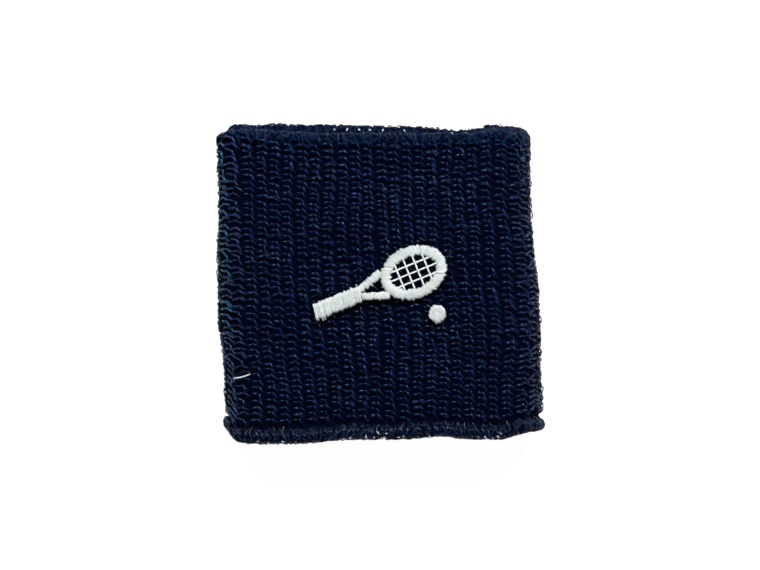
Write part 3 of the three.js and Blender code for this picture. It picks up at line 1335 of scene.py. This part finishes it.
    def strings(self) -> Strands:
        """The strings: thin cords of running stitch, each pressed in at its needle holes."""
        rng = np.random.default_rng(41)
        inner = np.array([self.head_length, self.head_width]) / 2 - self.frame_width
        half = inner + self.string_tuck
        share = np.linspace(-1.0, 1.0, 41)
        lines: list[Array] = []
        for way, count, height in ((0, self.main_strings, 0.0), (1, self.cross_strings, 0.14)):
            for index in range(1, count + 1):
                aside = 2 * inner[1 - way] * (index / (count + 1) - 0.5)
                line = np.full((len(share), 3), height)
                line[:, way] = half[way] * math.sqrt(1 - (aside / half[1 - way]) ** 2) * share
                line[:, 1 - way] = aside
                lines.append(line)
        paths = np.stack(lines)
        paths[..., 0] += self.head_centre
        paths[..., 2] += -0.12 + 0.13 * np.abs(np.sin(math.pi * distances(paths) / self.string_stitch))
        paths[..., :2] += rng.normal(0.0, 0.03, paths[..., :2].shape)
        full = np.ones(paths.shape[:2])
        return Strands(self.to_band(paths), full * self.string_radius, rng.random(len(paths)), full * 0.9)

    def zigzag(self, height: float, inset: float, pitch: float, radius: float, seed: int) -> Strands:
        """Loose stitches to and fro along all the columns, for the underlay and the bobbin side.

        Args:
            height: Their height from the face.
            inset: How far they stay inside the columns.
            pitch: The distance between them.
            radius: The thread's radius.
            seed: For their unevenness.

        Returns:
            The stitches.
        """
        rng = np.random.default_rng(seed)
        legs: list[Array] = []
        for column in self.columns(inset, pitch).values():
            over = np.stack([column.start[:-1], column.end[:-1]], axis=1)
            back = np.stack([column.end[:-1], column.start[1:]], axis=1)
            legs.append(np.stack([over, back], axis=1).reshape(-1, 2, 2))
        ends = np.concatenate(legs)
        ends += rng.normal(0.0, 0.04, ends.shape)
        share = np.linspace(0.0, 1.0, 7)
        flat = ends[:, :1] + share[None, :, None] * (ends[:, 1:] - ends[:, :1])
        rise = height - 0.04 + 0.08 * np.sin(math.pi * share)
        points = np.concatenate([flat, np.broadcast_to(rise[None, :, None], (*flat.shape[:2], 1))], -1)
        full = np.ones(points.shape[:2])
        return Strands(self.to_band(points), full * radius, rng.random(len(points)), full * 0.8)

    def loose_bits(self) -> Strands:
        """A few ends of thread that stand out beside the columns."""
        rng = np.random.default_rng(17)
        roots = np.array(
            [[-16.2, -1.95], [-15.6, -2.0], [17.3, 2.4], [17.55, 1.5], [-5.6, 1.95], [9.6, -13.5]]
        )
        bend = np.array([[0.0, 0.0, -0.3], [0.1, -0.25, 0.05], [0.35, -0.5, 0.15], [0.2, -0.85, 0.0]])
        knots = np.empty((len(roots), *bend.shape))
        for index, root in enumerate(roots):
            size = rng.uniform(0.6, 1.1)
            knots[index] = bend * [size * rng.choice([-1.0, 1.0]), -size * np.sign(root[1]), 1.0]
            knots[index, :, :2] += root
        paths = spline_weights(len(bend), 10)[None] @ knots
        full = np.ones(paths.shape[:2])
        return Strands(self.to_band(paths), full * 0.09, rng.random(len(roots)), full)

    def backing_sheet(self, finish: Material) -> Piece:
        """The stabiliser sheet behind the emblem, with rounded, slightly uneven edges.

        Args:
            finish: Its material.

        Returns:
            The sheet.
        """
        rng = np.random.default_rng(23)
        turns = np.linspace(0.0, math.tau, 120, endpoint=False)
        away = np.stack([np.cos(turns), np.sin(turns)], axis=-1)
        straight = np.array(self.backing_size) / 2 - self.backing_corner
        outline = np.clip(away * [40.0, 32.0], -straight, straight) + self.backing_corner * away
        outline += rng.normal(0.0, 0.04, outline.shape)
        flat = np.linspace(0.04, 1.0, 26)[:, None, None] * outline[None]
        lift = self.backing_wave.at(flat[..., 0], flat[..., 1])
        sides: list[Array] = []
        for half in (self.backing_thickness / 2, -self.backing_thickness / 2):
            sides.append(np.concatenate([flat, (self.backing_height + half + lift)[..., None]], axis=-1))
        layers = np.concatenate([sides[0], sides[1][::-1]])
        faces = grid_faces(len(layers), len(turns))[:, ::-1]
        return add_piece("emblem_backing_sheet", self.to_band(layers), faces, finish)

    def build(self) -> None:
        """Makes and dresses all the emblem's pieces."""
        spinner = Spinner(sides=6, ply_depth=0.1, twist=2.4)
        white = SATIN_THREAD.material()
        columns = self.columns(0.0, self.pitch)
        nodes = {
            "head": "emblem_racket_head",
            "upper_arm": "emblem_racket_throat_upper",
            "lower_arm": "emblem_racket_throat_lower",
            "handle": "emblem_racket_handle",
            "ball": "emblem_ball",
        }
        for seed, (name, node) in enumerate(nodes.items(), start=60):
            piece = spinner.spin(f"emblem_{name}_satin", self.satin(columns[name], seed), white)
            settle_piece(piece, "embroidery_thread", node)
        strings = spinner.spin("emblem_strings", self.strings(), white)
        settle_piece(strings, "embroidery_thread", "emblem_string_stitches")
        settle_piece(spinner.spin("emblem_loose_bits", self.loose_bits(), white), "embroidery_thread")
        underlay = self.zigzag(self.underlay_height, 0.35, 0.9, 0.17, 71)
        piece = spinner.spin("emblem_underlay_zigzag", underlay, UNDERLAY_THREAD.material())
        settle_piece(piece, "underlay_thread", "emblem_underlay")
        bobbin = self.zigzag(self.bobbin_height, 0.55, 0.7, 0.13, 72)
        piece = spinner.spin("emblem_bobbin_stitches", bobbin, BOBBIN_THREAD.material())
        settle_piece(piece, "bobbin_thread", "emblem_bobbin_thread")
        sheet = self.backing_sheet(BACKING_FLEECE.material())
        settle_piece(sheet, "backing_sheet", "emblem_backing")


# ---------------------------------------------------------------- terry loops


class Zone(Enum):
    """A stretch of the cloth. Its value seeds the unevenness of its loops."""

    OUTER = 101
    RIM = 102
    LINING = 103


@dataclass(frozen=True)
class LoopShape:
    """One loop of the pile: it rises, runs across its wale and falls slantwise to the right.

    Its two plies lie close together on the flat part and part on the slanting leg.
    """

    across: Row = (-1.46, -1.14, -0.48, 0.12, 0.28, 0.46, 1.04, 1.60, 1.72)
    along: Row = (-0.30, 0.10, 0.18, 0.12, 0.18, 0.38, -0.25, -0.88, -1.00)
    lift: Row = (-0.10, 0.74, 0.86, 0.72, 0.50, 1.00, 1.06, 0.94, 0.00)
    winding: Row = (1.2, 1.0, 0.75, 0.65, 0.5, 0.3, 0.05, 0.0, 0.0)
    parting: Row = (0.3, 0.7, 0.9, 0.7, 0.6, 1.4, 2.2, 2.0, 0.6)
    stoutness: Row = (0.9, 1.1, 1.25, 1.1, 0.85, 0.88, 0.92, 0.88, 0.7)
    fanning: Row = (0.0, 0.26, 0.18, 0.28, 0.30, 0.0, 0.0, 0.0, 0.0)


@dataclass(frozen=True)
class Unevenness:
    """How much the loops differ from one another."""

    wale_up: float = 0.25
    wale_aside: float = 0.13
    up: float = 0.10
    aside: float = 0.11
    wide: float = 0.09
    long: float = 0.13
    tall: float = 0.10
    turn: float = 0.17
    ply: float = 0.08
    point: float = 0.055
    winding: float = 0.3
    tint: float = 0.26
    open_share: float = 0.35
    openness: Pair = (0.7, 1.2)
    wander: Ripple = Ripple(5, 16.0, 50.0, 0.4)
    waver: Ripple = Ripple(6, 9.0, 40.0, 0.5)
    growth: Ripple = Ripple(7, 5.0, 22.0, 0.10)
    shade: Ripple = Ripple(8, 8.0, 34.0, 0.16)


@dataclass
class LoopSet:
    """Loops at places on the cloth, each with its own size, slant and thickness of ply.

    side is how sharply the cloth is bent round a side fold under each loop.
    """

    round_: Array
    up: Array
    wide: Array
    long: Array
    tall: Array
    turn: Array
    ply: Array
    side: Array


@dataclass
class TerryPile:
    """All the loops of the terry cloth."""

    form: BandForm
    emblem: RacketEmblem
    shape: LoopShape = LoopShape()
    uneven: Unevenness = Unevenness()
    wales: int = 52
    course: float = 1.56
    drawn_wale: float = 3.4
    pile: float = 1.15
    ply: float = 0.145
    # body_tint: the share of the dyes for the body; the rest is painted fold sheen.
    body_tint: float = 0.667

    def span(self, zone: Zone) -> Pair:
        """Where a zone begins and ends along the ground cloth.

        Args:
            zone: The zone.

        Returns:
            Its two ends.
        """
        turn = self.form.outer_length
        back = turn + self.form.turn_length
        return {
            Zone.OUTER: (1.7, turn - 0.3),
            Zone.RIM: (turn - 0.2, back + 0.2),
            Zone.LINING: (back + 0.8, self.form.full_length - 0.9),
        }[zone]

    def loops(self, zone: Zone, rings: int) -> tuple[Strands, Array]:
        """Draws a zone's loops.

        Args:
            zone: The zone.
            rings: Points on each loop.

        Returns:
            The loops, and each one's place round the band.
        """
        rng = np.random.default_rng(zone.value)
        uneven = self.uneven
        at_rim = zone is Zone.RIM
        start, stop = self.span(zone)
        course = self.course * 0.45 if at_rim else self.course
        wales = self.wales * 3 // 2 if at_rim else self.wales
        rows = math.floor((stop - start) / course) + 1
        spare = (stop - start) - (rows - 1) * course
        at = (np.arange(wales) + 0.5) * self.form.girth / wales
        up = start + spare / 2 + np.arange(rows) * course
        round_, up = (grid.ravel() for grid in np.meshgrid(at, up, indexing="ij"))
        count = len(round_)
        offset = np.repeat(rng.normal(0.0, uneven.wale_up, wales), rows)
        aside = np.repeat(rng.normal(0.0, uneven.wale_aside, wales), rows)
        up = up + uneven.waver.at(round_, up) + offset + rng.normal(0.0, uneven.up, count)
        round_ = round_ + aside + uneven.wander.at(round_, up) + rng.normal(0.0, uneven.aside, count)
        wide = self.form.girth / self.wales / self.drawn_wale * rng.normal(1.0, uneven.wide, count)
        long = rng.normal(1.0, uneven.long, count)
        tall = np.clip(rng.normal(1.0, uneven.tall, count) + uneven.growth.at(round_, up), 0.6, 1.4)
        side, over = self.form.bend(round_, up)
        turn = rng.normal(0.0, uneven.turn, count) * (1 + 1.1 * side)
        ply = self.ply * rng.normal(1.0, uneven.ply, count) * (1 + 0.35 * side)
        if at_rim:
            tall = np.minimum(tall * rng.uniform(0.8, 1.15, count), 1.05)
            wide = wide * rng.uniform(0.6, 1.15, count)
            long = long * 1.15
            turn = rng.normal(0.0, 0.75, count)
        round_ = round_ + self.form.crease(round_, up)
        middle = self.form.place(round_, up, np.full(count, self.pile))
        near, inside = self.emblem.clearance(middle[:, 0], middle[:, 1])
        front = middle[:, 2] > self.form.fold_radius
        near = np.where(front, near, np.inf)
        pressed = smooth_step(near, 3.2, 0.3)
        in_head = front & (inside > self.emblem.frame_width * 0.8)
        tall = tall * (1 - 0.32 * side) * (1 - 0.16 * over * (1 - side))
        tall = tall * (1 - 0.42 * pressed) * np.where(in_head, 0.62, 1.0)
        turn = turn + pressed * rng.normal(0.0, 0.6, count)
        wide = wide * (1 - 0.12 * pressed) * (1 + 0.2 * side)
        strands = self.draw(LoopSet(round_, up, wide, long, tall, turn, ply, side), rings, rng)
        tint = 0.5 + uneven.shade.at(round_, up) + rng.normal(0.0, uneven.tint, count)
        strands.dye = self.dyes_with_painted_fold_sheen(zone, tint, middle, rng)
        # Painted shade: loops pressed down beside the stitches are darkened.
        strands.lift = strands.lift * (1 - 0.35 * pressed)[:, None]
        keep = near > -0.15
        return strands.part(keep), round_[keep]

    def dyes_with_painted_fold_sheen(self, zone: Zone, tint: Array, middle: Array, rng: np.random.Generator) -> Array:
        """Where the loops' dyes lie in their finish: the outer layer's folds use its last, paler ones as
        painted sheen, most on the upper part of the left fold.

        Args:
            zone: The zone.
            tint: Each loop's own place among the dyes.
            middle: Each loop's point in space.
            rng: The zone's random numbers.

        Returns:
            The places, from 0 to 1.
        """
        x, _, z = middle.T
        # Painted sheen: the folds are paled, less on the right side and less low down, as the light falls.
        edge = smooth_step(np.abs(x + 1.0), 34.0, 40.0) * rng.uniform(0.6, 1.0, len(tint))
        edge = edge * np.where(x > 0, 0.2, 1.0) * (0.35 + 0.65 * smooth_step(z, 7.0, 12.0))
        plain = np.clip(tint, 0.0, 1.0)
        if zone is Zone.OUTER:
            return plain * self.body_tint * (1 - edge) + edge
        return plain * (1 - edge) + edge * tint

    def draw(self, loops: LoopSet, rings: int, rng: np.random.Generator) -> Strands:
        """Draws loops as yarns with two plies.

        Args:
            loops: The loops.
            rings: Points on each loop.
            rng: The zone's random numbers.

        Returns:
            The yarns.
        """
        uneven = self.uneven
        count = len(loops.round_)
        points = np.array([self.shape.across, self.shape.along, self.shape.lift])
        weights = spline_weights(points.shape[1], rings)
        local = points[None] + rng.normal(0.0, uneven.point, (count, *points.shape))
        local[:, 2] += loops.side[:, None] * np.array(self.shape.fanning)
        across = local[:, 0] * loops.wide[:, None]
        along = local[:, 1] * loops.long[:, None]
        cos, sin = np.cos(loops.turn)[:, None], np.sin(loops.turn)[:, None]
        place_round = loops.round_[:, None] + across * cos - along * sin
        place_up = loops.up[:, None] + across * sin + along * cos
        lift = self.pile * loops.tall[:, None] * local[:, 2]
        drawn = weights[None] @ np.stack([place_round, place_up, lift], axis=-1)
        paths = self.form.place(drawn[..., 0], drawn[..., 1], drawn[..., 2])
        ends = np.sin(math.pi * np.linspace(0.06, 0.94, rings)) ** 0.25
        radius = loops.ply[:, None] * ends * (weights @ np.array(self.shape.stoutness))
        # Painted shade: each point of a loop is darker the lower it lies, steeper by the power 1.5.
        shade = np.clip(drawn[..., 2] / self.pile, 0.0, 1.0) ** 1.5
        flat = np.zeros(count)
        above = self.form.place(loops.round_, loops.up + 0.2, flat)
        heading = above - self.form.place(loops.round_, loops.up - 0.2, flat)
        winding = weights @ np.array(self.shape.winding) + rng.normal(0.0, uneven.winding, (count, 1))
        open_ = np.where(rng.random(count) < uneven.open_share, 1.0, 0.3)
        open_ = open_ * rng.uniform(*uneven.openness, count)
        parting = weights @ np.array(self.shape.parting) * open_[:, None]
        return Strands(paths, radius, flat, shade, heading, winding, parting)

    def build_halves(self, zone: Zone, yarns: Strands, back: Array, spinner: Spinner) -> None:
        """Makes a zone's front and back pieces.

        Args:
            zone: The rim or the lining.
            yarns: Its yarns or plies.
            back: Which of them lie on the back wall.
            spinner: What draws them.
        """
        name, slot, node, finish = {
            Zone.RIM: ("rim", "rim_terry", "upper_rim_fold", RIM_TERRY),
            Zone.LINING: ("lining", "inner_terry", "inner_terry_layer", LINING_TERRY),
        }[zone]
        yarn = finish.material()
        for half, keep, nodes in (("front", ~back, (node,)), ("back", back, ())):
            part = yarns.part(keep)
            plies = part if zone is Zone.LINING else spinner.open_plies(part)
            settle_piece(spinner.spin(f"terry_{name}_{half}", plies, yarn), slot, *nodes)

    def build(self) -> None:
        """Makes the loops of every zone, in pieces that go round the band."""
        spinner = Spinner(sides=6, ply_depth=0.0, twist=0.6)
        outer, round_ = self.loops(Zone.OUTER, 15)
        yarn = FACE_TERRY.material()
        arc, half = self.form.fold_arc, self.form.fold_centre
        edges = np.cumsum([0.0, half, arc, half, half, arc, half])
        names = ["front_right", "right_fold", "back_right", "back_left", "left_fold", "front_left"]
        nodes = ["outer_terry_layer"]
        part = np.searchsorted(edges, np.mod(round_, self.form.girth), side="right") - 1
        for index, name in enumerate(names):
            plies = spinner.open_plies(outer.part(part == index))
            settle_piece(spinner.spin(f"terry_{name}", plies, yarn), "outer_terry", *nodes)
            nodes = []
        rim, round_ = self.loops(Zone.RIM, 15)
        self.build_halves(Zone.RIM, rim, self.form.is_back(round_), spinner)
        lining, round_ = self.loops(Zone.LINING, 10)
        lining.radius = lining.radius * 1.7
        self.build_halves(Zone.LINING, lining, self.form.is_back(round_), Spinner(ply_depth=0.25))


# ---------------------------------------------------------------- ground cloth, hem, seam, elastic


@dataclass(frozen=True)
class GroundCloth:
    """The knitted cloth that the loops stand on, from the outer hem over the rim to the lining."""

    form: BandForm
    steps_round: int = 364
    steps_along: int = 150
    ribs: int = 104
    rib: float = 0.16
    spare: float = 0.6
    side_lift: float = 0.64
    rim_lift: float = 0.74
    lowest: float = 0.3
    flat_width: float = 165.0

    def build(self) -> None:
        form = self.form
        round_ = np.linspace(0.0, form.girth, self.steps_round, endpoint=False)
        up = np.linspace(-self.spare, form.full_length + self.spare, self.steps_along)
        across, along = np.meshgrid(round_, up)
        lift = self.rib * (np.abs(np.sin(math.pi * across / (form.girth / self.ribs))) - 0.6)
        lift -= 0.5 * np.abs(form.crease(across, along))
        side, over = form.bend(across, along)
        raised = np.maximum(self.side_lift * side, self.rim_lift * over)
        lift += raised * smooth_step(along, -self.spare, 2.0)
        points = form.place(across, along, lift)
        points[..., 2] = np.maximum(points[..., 2], self.lowest)
        faces = grid_faces(self.steps_along, self.steps_round)
        cloth = add_piece("ground_cloth", points, faces, GROUND_KNIT.material())
        carry(cloth.data, "weave", np.stack([across, along, 0 * along], axis=-1))
        settle_piece(cloth, "outer_terry")


@dataclass(frozen=True)
class HemRoll:
    """The rolled hem: yarn wrapped over the closed edge, with short curly loops on it."""

    form: BandForm
    wraps: int = 230
    curls: int = 2840
    yarn: float = 0.22
    section_length: float = 11.0

    def outline(self) -> Array:
        """Points round the bead's section, as distance inside the outer face and y."""
        low, edge, wall = self.form.lower_rim, self.form.lower_edge, self.form.wall
        outside = [(1.9, edge + 0.5), (1.15, edge - 0.45), (0.45, edge - 1.3), (0.45, low + 1.1)]
        outside += [(1.3, low + 0.45)]
        inside = [(wall - inset, y) for inset, y in reversed(outside)]
        return np.array([*outside, (wall / 2, low + 0.3), *inside])

    def over(self, round_: Array, share: Array, lift: Array) -> Array:
        """Points on the bead.

        Args:
            round_: Places round the band.
            share: How far round the section, from 0 outside to 1 inside.
            lift: Heights above the bead.

        Returns:
            The points in space.
        """
        outline = self.outline()
        at = np.linspace(0.0, 1.0, 121)
        fine = spline_weights(len(outline), len(at)) @ outline
        slope = np.gradient(fine, axis=0)
        slope /= np.linalg.norm(slope, axis=1, keepdims=True)
        inset = np.interp(share, at, fine[:, 0]) + lift * np.interp(share, at, slope[:, 1])
        y = np.interp(share, at, fine[:, 1]) - lift * np.interp(share, at, slope[:, 0])
        x, z = self.form.section(round_, inset)
        return self.form.settle(x, y, z)

    def core(self) -> Piece:
        """The rolled edge of the cloth inside the wraps."""
        steps, across = 300, 24
        round_ = np.linspace(0.0, self.form.girth, steps, endpoint=False)[:, None] + np.zeros(across)
        share = np.linspace(0.02, 0.98, across)[None] + np.zeros((steps, 1))
        lumps = 0.06 * np.sin(1.9 * round_ + 9.0 * share)
        points = self.over(round_, share, lumps - 0.28)
        faces = grid_faces(steps, across, close_rows=True)
        core = add_piece("hem_core", points, faces, GROUND_KNIT.material())
        carry(core.data, "weave", np.stack([round_, self.section_length * share, 0 * share], axis=-1))
        return core

    def wrap_strands(self) -> Strands:
        """The wraps over the edge, a little slanted."""
        rng = np.random.default_rng(201)
        count = self.wraps
        share = np.linspace(0.0, 1.0, 25)
        weights = spline_weights(7, len(share))
        start = (np.arange(count) + rng.normal(0.0, 0.16, count)) * self.form.girth / count
        slant = rng.normal(2.2, 1.6, count)
        wave = rng.normal(0.0, 0.5, (count, 7)) @ weights.T
        round_ = start[:, None] + slant[:, None] * share[None] + wave
        puff = np.clip(rng.normal(0.0, 0.14, (count, 7)), -0.3, 0.5) @ weights.T
        paths = self.over(round_, np.broadcast_to(share, round_.shape), puff)
        radius = self.yarn * rng.normal(1.0, 0.08, (count, 1)) * np.ones(len(share))
        # Painted shade: each wrap is darker towards both ends, at the groove above the hem and on the inside.
        lift = np.broadcast_to(np.sin(math.pi * share) ** 0.9, round_.shape)
        return Strands(paths, radius, rng.random(count), lift)

    def curl_strands(self) -> Strands:
        """Short curly loops that stand out of the bead."""
        rng = np.random.default_rng(202)
        count = self.curls
        round_ = rng.uniform(0.0, self.form.girth, (count, 1))
        share = rng.uniform(0.13, 0.87, (count, 1))
        turn = rng.uniform(0.0, math.tau, (count, 1))
        size = rng.uniform(0.3, 1.05, (count, 1))
        angle = np.linspace(-0.15, 1.15, 6) * math.pi
        across = np.cos(angle) * size
        tall = np.sin(angle) * rng.uniform(0.15, 0.55, (count, 1)) - 0.1
        around = share + across * np.sin(turn) / self.section_length
        knots = np.stack([round_ + across * np.cos(turn), around, tall], axis=-1)
        drawn = spline_weights(6, 8)[None] @ knots
        paths = self.over(drawn[..., 0], np.clip(drawn[..., 1], 0.0, 1.0), drawn[..., 2])
        radius = rng.uniform(0.09, 0.15, (count, 1)) * np.ones(8)
        # Painted shade: the curls are darker the lower they stand.
        return Strands(paths, radius, rng.random(count), np.clip(0.4 + drawn[..., 2], 0.0, 1.0))

    def build(self) -> None:
        """Makes the hem's pieces."""
        yarn = HEM_TERRY.material()
        wraps = Spinner(twist=0.9).spin("hem_wraps", self.wrap_strands(), yarn)
        settle_piece(wraps, "hem_terry", "lower_hem_roll")
        curls = Spinner(sides=5).spin("hem_curls", self.curl_strands(), yarn)
        settle_piece(curls, "hem_terry")
        settle_piece(self.core(), "hem_terry")


@dataclass(frozen=True)
class ClosingSeam:
    """The lock stitches that close the two layers above the hem."""

    form: BandForm
    stitch: float = 3.0
    thread: float = 0.2
    inset: float = 1.25
    dive: float = 0.9

    def row(self, inset: float, seed: int) -> Strands:
        """One face's row of stitches.

        Args:
            inset: The row's distance inside the outer face.
            seed: For the unevenness of the stitches.

        Returns:
            The stitches.
        """
        rng = np.random.default_rng(seed)
        count = round(self.form.girth / self.stitch)
        pitch = self.form.girth / count
        share = np.linspace(0.0, 1.0, 11)
        round_ = (np.arange(count) * pitch)[:, None] + share[None] * pitch * 0.96
        inwards = 1.0 if inset < self.form.wall / 2 else -1.0
        depth = inset + inwards * self.dive * (1 - np.sin(math.pi * share) ** 0.4)
        y = self.form.lower_edge - 0.35 + rng.normal(0.0, 0.04, (count, 1)) + 0.1 * (share - 0.5)[None]
        x, z = self.form.section(round_, np.broadcast_to(depth, round_.shape))
        paths = self.form.settle(x, y, z)
        full = np.ones(paths.shape[:2])
        return Strands(paths, full * self.thread, rng.random(count), full)

    def build(self) -> None:
        """Makes the seam."""
        both = self.row(self.inset, 301).together(self.row(self.form.wall - self.inset, 302))
        piece = Spinner(sides=6, twist=3.0).spin("closing_seam_stitches", both, SEAM_YARN.material())
        settle_piece(piece, "seam_thread", "closing_seam_thread")


@dataclass(frozen=True)
class ElasticYarns:
    """The covered elastic yarn between the layers, and the white tips that peep out at the rims.

    The tips at the rim are given by x and by how far up the turn they lie, and those at the hem by
    their place round the band.
    """

    form: BandForm
    nodes: tuple[str, ...]
    radius: float = 0.33
    low_rim_tips: Row = (-10.2, -6.9, -3.8, -1.0, 2.4, 8.0, 20.4, 23.9)
    high_rim_tips: Row = (2.6, 8.6, 14.5, 15.3)
    rim_heights: Pair = (4.15, 4.9)
    hem_tips: Row = (
        *(-31.6, -29.0, -25.2, -8.3, -4.2, -2.2, -1.2),
        *(0.8, 3.9, 5.2, 24.2, 26.0, 29.4, 30.1),
    )

    def turns(self) -> Strands:
        """One ring of yarn for each CAD turn."""
        rng = np.random.default_rng(401)
        round_ = np.linspace(0.0, self.form.girth, 220)
        paths: list[Array] = []
        for node in self.nodes:
            low, high = box_of(node)
            depth = self.form.half_width - (high[0] - low[0]) / 2 + self.radius
            x, z = self.form.section(round_, np.full(round_.shape, depth))
            paths.append(self.form.settle(x, np.full(round_.shape, (low[1] + high[1]) / 2), z))
        full = np.ones((len(paths), len(round_)))
        return Strands(np.stack(paths), full * self.radius, rng.random(len(paths)), full)

    def tips(self) -> Strands:
        """Short bits of white yarn that show between the loops at both rims."""
        rng = np.random.default_rng(402)
        form = self.form
        places: list[Pair] = []
        for row, height in zip((self.low_rim_tips, self.high_rim_tips), self.rim_heights):
            places += [(form.behind_at(x), form.outer_length + height) for x in row]
        rim, low = np.array(places), np.array(self.hem_tips)
        share = np.linspace(-1.0, 1.0, 6)
        arch = 1 - share**2

        def bits(count: int, shortest: float, longest: float) -> tuple[Array, Array]:
            """Lays some short bits, each with a heading of its own.

            Args:
                count: How many bits.
                shortest: Half the length of the shortest.
                longest: Half the length of the longest.

            Returns:
                Their sideways and lengthwise reaches.
            """
            heading = rng.uniform(-0.6, 1.2, (count, 1))
            half = rng.uniform(shortest, longest, (count, 1))
            return share * half * np.cos(heading), share * half * np.sin(heading)

        aside, along = bits(len(rim), 0.15, 0.34)
        lift = np.broadcast_to(0.75 * arch + 0.55, aside.shape)
        on_rim = form.place(rim[:, :1] + aside, rim[:, 1:] + along, lift)
        aside, along = bits(len(low), 0.2, 0.42)
        spot = rng.uniform(0.24, 0.36, (len(low), 1))
        lift = np.broadcast_to(0.3 * arch + 0.1, aside.shape)
        hem = HemRoll(form)
        on_hem = hem.over(low[:, None] + aside, spot + along / hem.section_length, lift)
        paths = np.concatenate([on_rim, on_hem])
        radius = rng.uniform(0.06, 0.105, (len(paths), 1)) * np.ones(len(share))
        radius[: len(rim)] *= 1.7
        return Strands(paths, radius, rng.random(len(paths)), np.ones(paths.shape[:2]))

    def build(self) -> None:
        """Makes the rings and the tips."""
        white = ELASTIC_YARN.material()
        rings = Spinner(twist=4.0, ply_depth=0.12).spin("elastic_yarn_turns", self.turns(), white)
        settle_piece(rings, "elastic_yarn", *self.nodes)
        tips = Spinner(sides=6, twist=3.0).spin("elastic_yarn_tips", self.tips(), white)
        settle_piece(tips, "elastic_yarn")


@dataclass(frozen=True)
class LooseThread:
    """A short end of white thread that lies on the loops near the left fold."""

    radius: float = 0.16
    above: float = 0.25

    def build(self) -> None:
        """Makes the thread in its CAD node's place."""
        low, high = box_of("loose_thread_end")
        share = np.linspace(0.0, 1.0, 25)
        _, rise, climb = high - low - 2 * self.radius
        x = low[0] + share * (high[0] - low[0])
        y = low[1] + self.radius + share**1.7 * rise
        z = low[2] + self.radius + self.above + share**0.8 * climb + 0.08 * np.sin(9.0 * share)
        paths = np.stack([x, y, z], axis=-1)[None]
        ends = 0.55 + 0.45 * np.sin(math.pi * share) ** 0.3
        strands = Strands(paths, self.radius * ends[None], np.array([0.5]), np.ones((1, len(share))))
        piece = Spinner(twist=5.0).spin("loose_thread", strands, SATIN_THREAD.material())
        settle_piece(piece, "embroidery_thread", "loose_thread_end")


# ---------------------------------------------------------------- studio


@dataclass(frozen=True)
class Studio:
    """The camera above the band, the paper floor and the soft lights."""

    view_width: float = 195.9
    lens: float = 100.0
    sensor: float = 36.0
    look_at: Pair = (0.1, -0.2)
    band_middle: float = 8.8
    floor_half: float = 3000.0
    wall_radius: float = 2900.0
    wall_height: float = 450.0
    surround: float = 0.02

    def add_camera(self) -> None:
        """Hangs the camera straight above the band."""
        data = bpy.data.cameras.new("camera")
        data.lens = self.lens
        data.sensor_width = self.sensor
        data.clip_start = 0.01
        camera = bpy.data.objects.new("camera", data)
        distance = self.view_width * self.lens / self.sensor
        camera.location = Vector((*self.look_at, self.band_middle + distance)) * MM
        bpy.context.scene.collection.objects.link(camera)
        bpy.context.scene.camera = camera

    def add_light(self, name: str, place: Triple, size: float, power: float) -> None:
        """Adds a soft square light that faces the band.

        Args:
            name: Its name.
            place: Where it stands, in metres.
            size: Its side, in metres.
            power: Its power in watts.
        """
        data = bpy.data.lights.new(name, "AREA")
        data.size = size
        data.energy = power
        light = bpy.data.objects.new(name, data)
        facing = Vector(place).to_track_quat("Z", "Y").to_matrix().to_4x4()
        light.matrix_world = Matrix.Translation(place) @ facing
        bpy.context.scene.collection.objects.link(light)

    def add_floor(self) -> None:
        """Lays the paper floor, with a low round wall of the same paper near its edge."""
        paper = PAPER.material()
        edge = np.linspace(-self.floor_half, self.floor_half, 13)
        x, y = np.meshgrid(edge, edge)
        faces = grid_faces(13, 13, close_columns=False)
        add_piece("floor", np.stack([x, y, 0 * x], axis=-1), faces, paper)
        turn = np.linspace(0.0, math.tau, 96, endpoint=False)
        low = self.wall_radius * np.stack([np.cos(turn), np.sin(turn), 0 * turn], axis=-1)
        points = np.stack([low, low + [0.0, 0.0, self.wall_height]])
        add_piece("wall", points, grid_faces(2, len(turn))[:, ::-1], paper)

    def build(self) -> None:
        """Lays the floor and lights the scene."""
        self.add_floor()
        self.add_light("key_light", (0.30, 0.54, 0.57), 0.22, 12.2)
        self.add_light("top_light", (-0.30, 0.54, 0.58), 0.24, 6.0)
        world = bpy.data.worlds.new("studio")
        world.use_nodes = True
        background = world.node_tree.nodes["Background"]
        background.inputs["Color"].default_value = (1.0, 1.0, 1.0, 1.0)
        background.inputs["Strength"].default_value = self.surround
        bpy.context.scene.world = world
        bpy.context.scene.view_settings.view_transform = "Standard"


# ---------------------------------------------------------------- the whole


def main() -> None:
    """Builds the wristband piece by piece."""
    logging.basicConfig(level=logging.INFO, format="%(name)s %(message)s")
    studio = Studio()
    studio.add_camera()
    outer_low, outer_high = box_of("outer_terry_layer")
    _, inner_high = box_of("inner_terry_layer")
    _, rim_high = box_of("upper_rim_fold")
    hem_low, _ = box_of("lower_hem_roll")
    inner_layer = 2.0
    form = BandForm(
        half_width=outer_high[0],
        thickness=outer_high[2],
        lower_rim=hem_low[1],
        upper_rim=rim_high[1],
        lower_edge=outer_low[1],
        wall=outer_high[0] - inner_high[0] + inner_layer,
    )
    emblem = RacketEmblem(face=form.thickness)
    elastic = tuple(sorted(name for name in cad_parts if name.startswith("elastic_yarn_turn")))
    GroundCloth(form).build()
    TerryPile(form, emblem).build()
    HemRoll(form).build()
    ClosingSeam(form).build()
    ElasticYarns(form, elastic).build()
    emblem.build()
    LooseThread().build()
    studio.build()


if __name__ == "__main__":
    main()
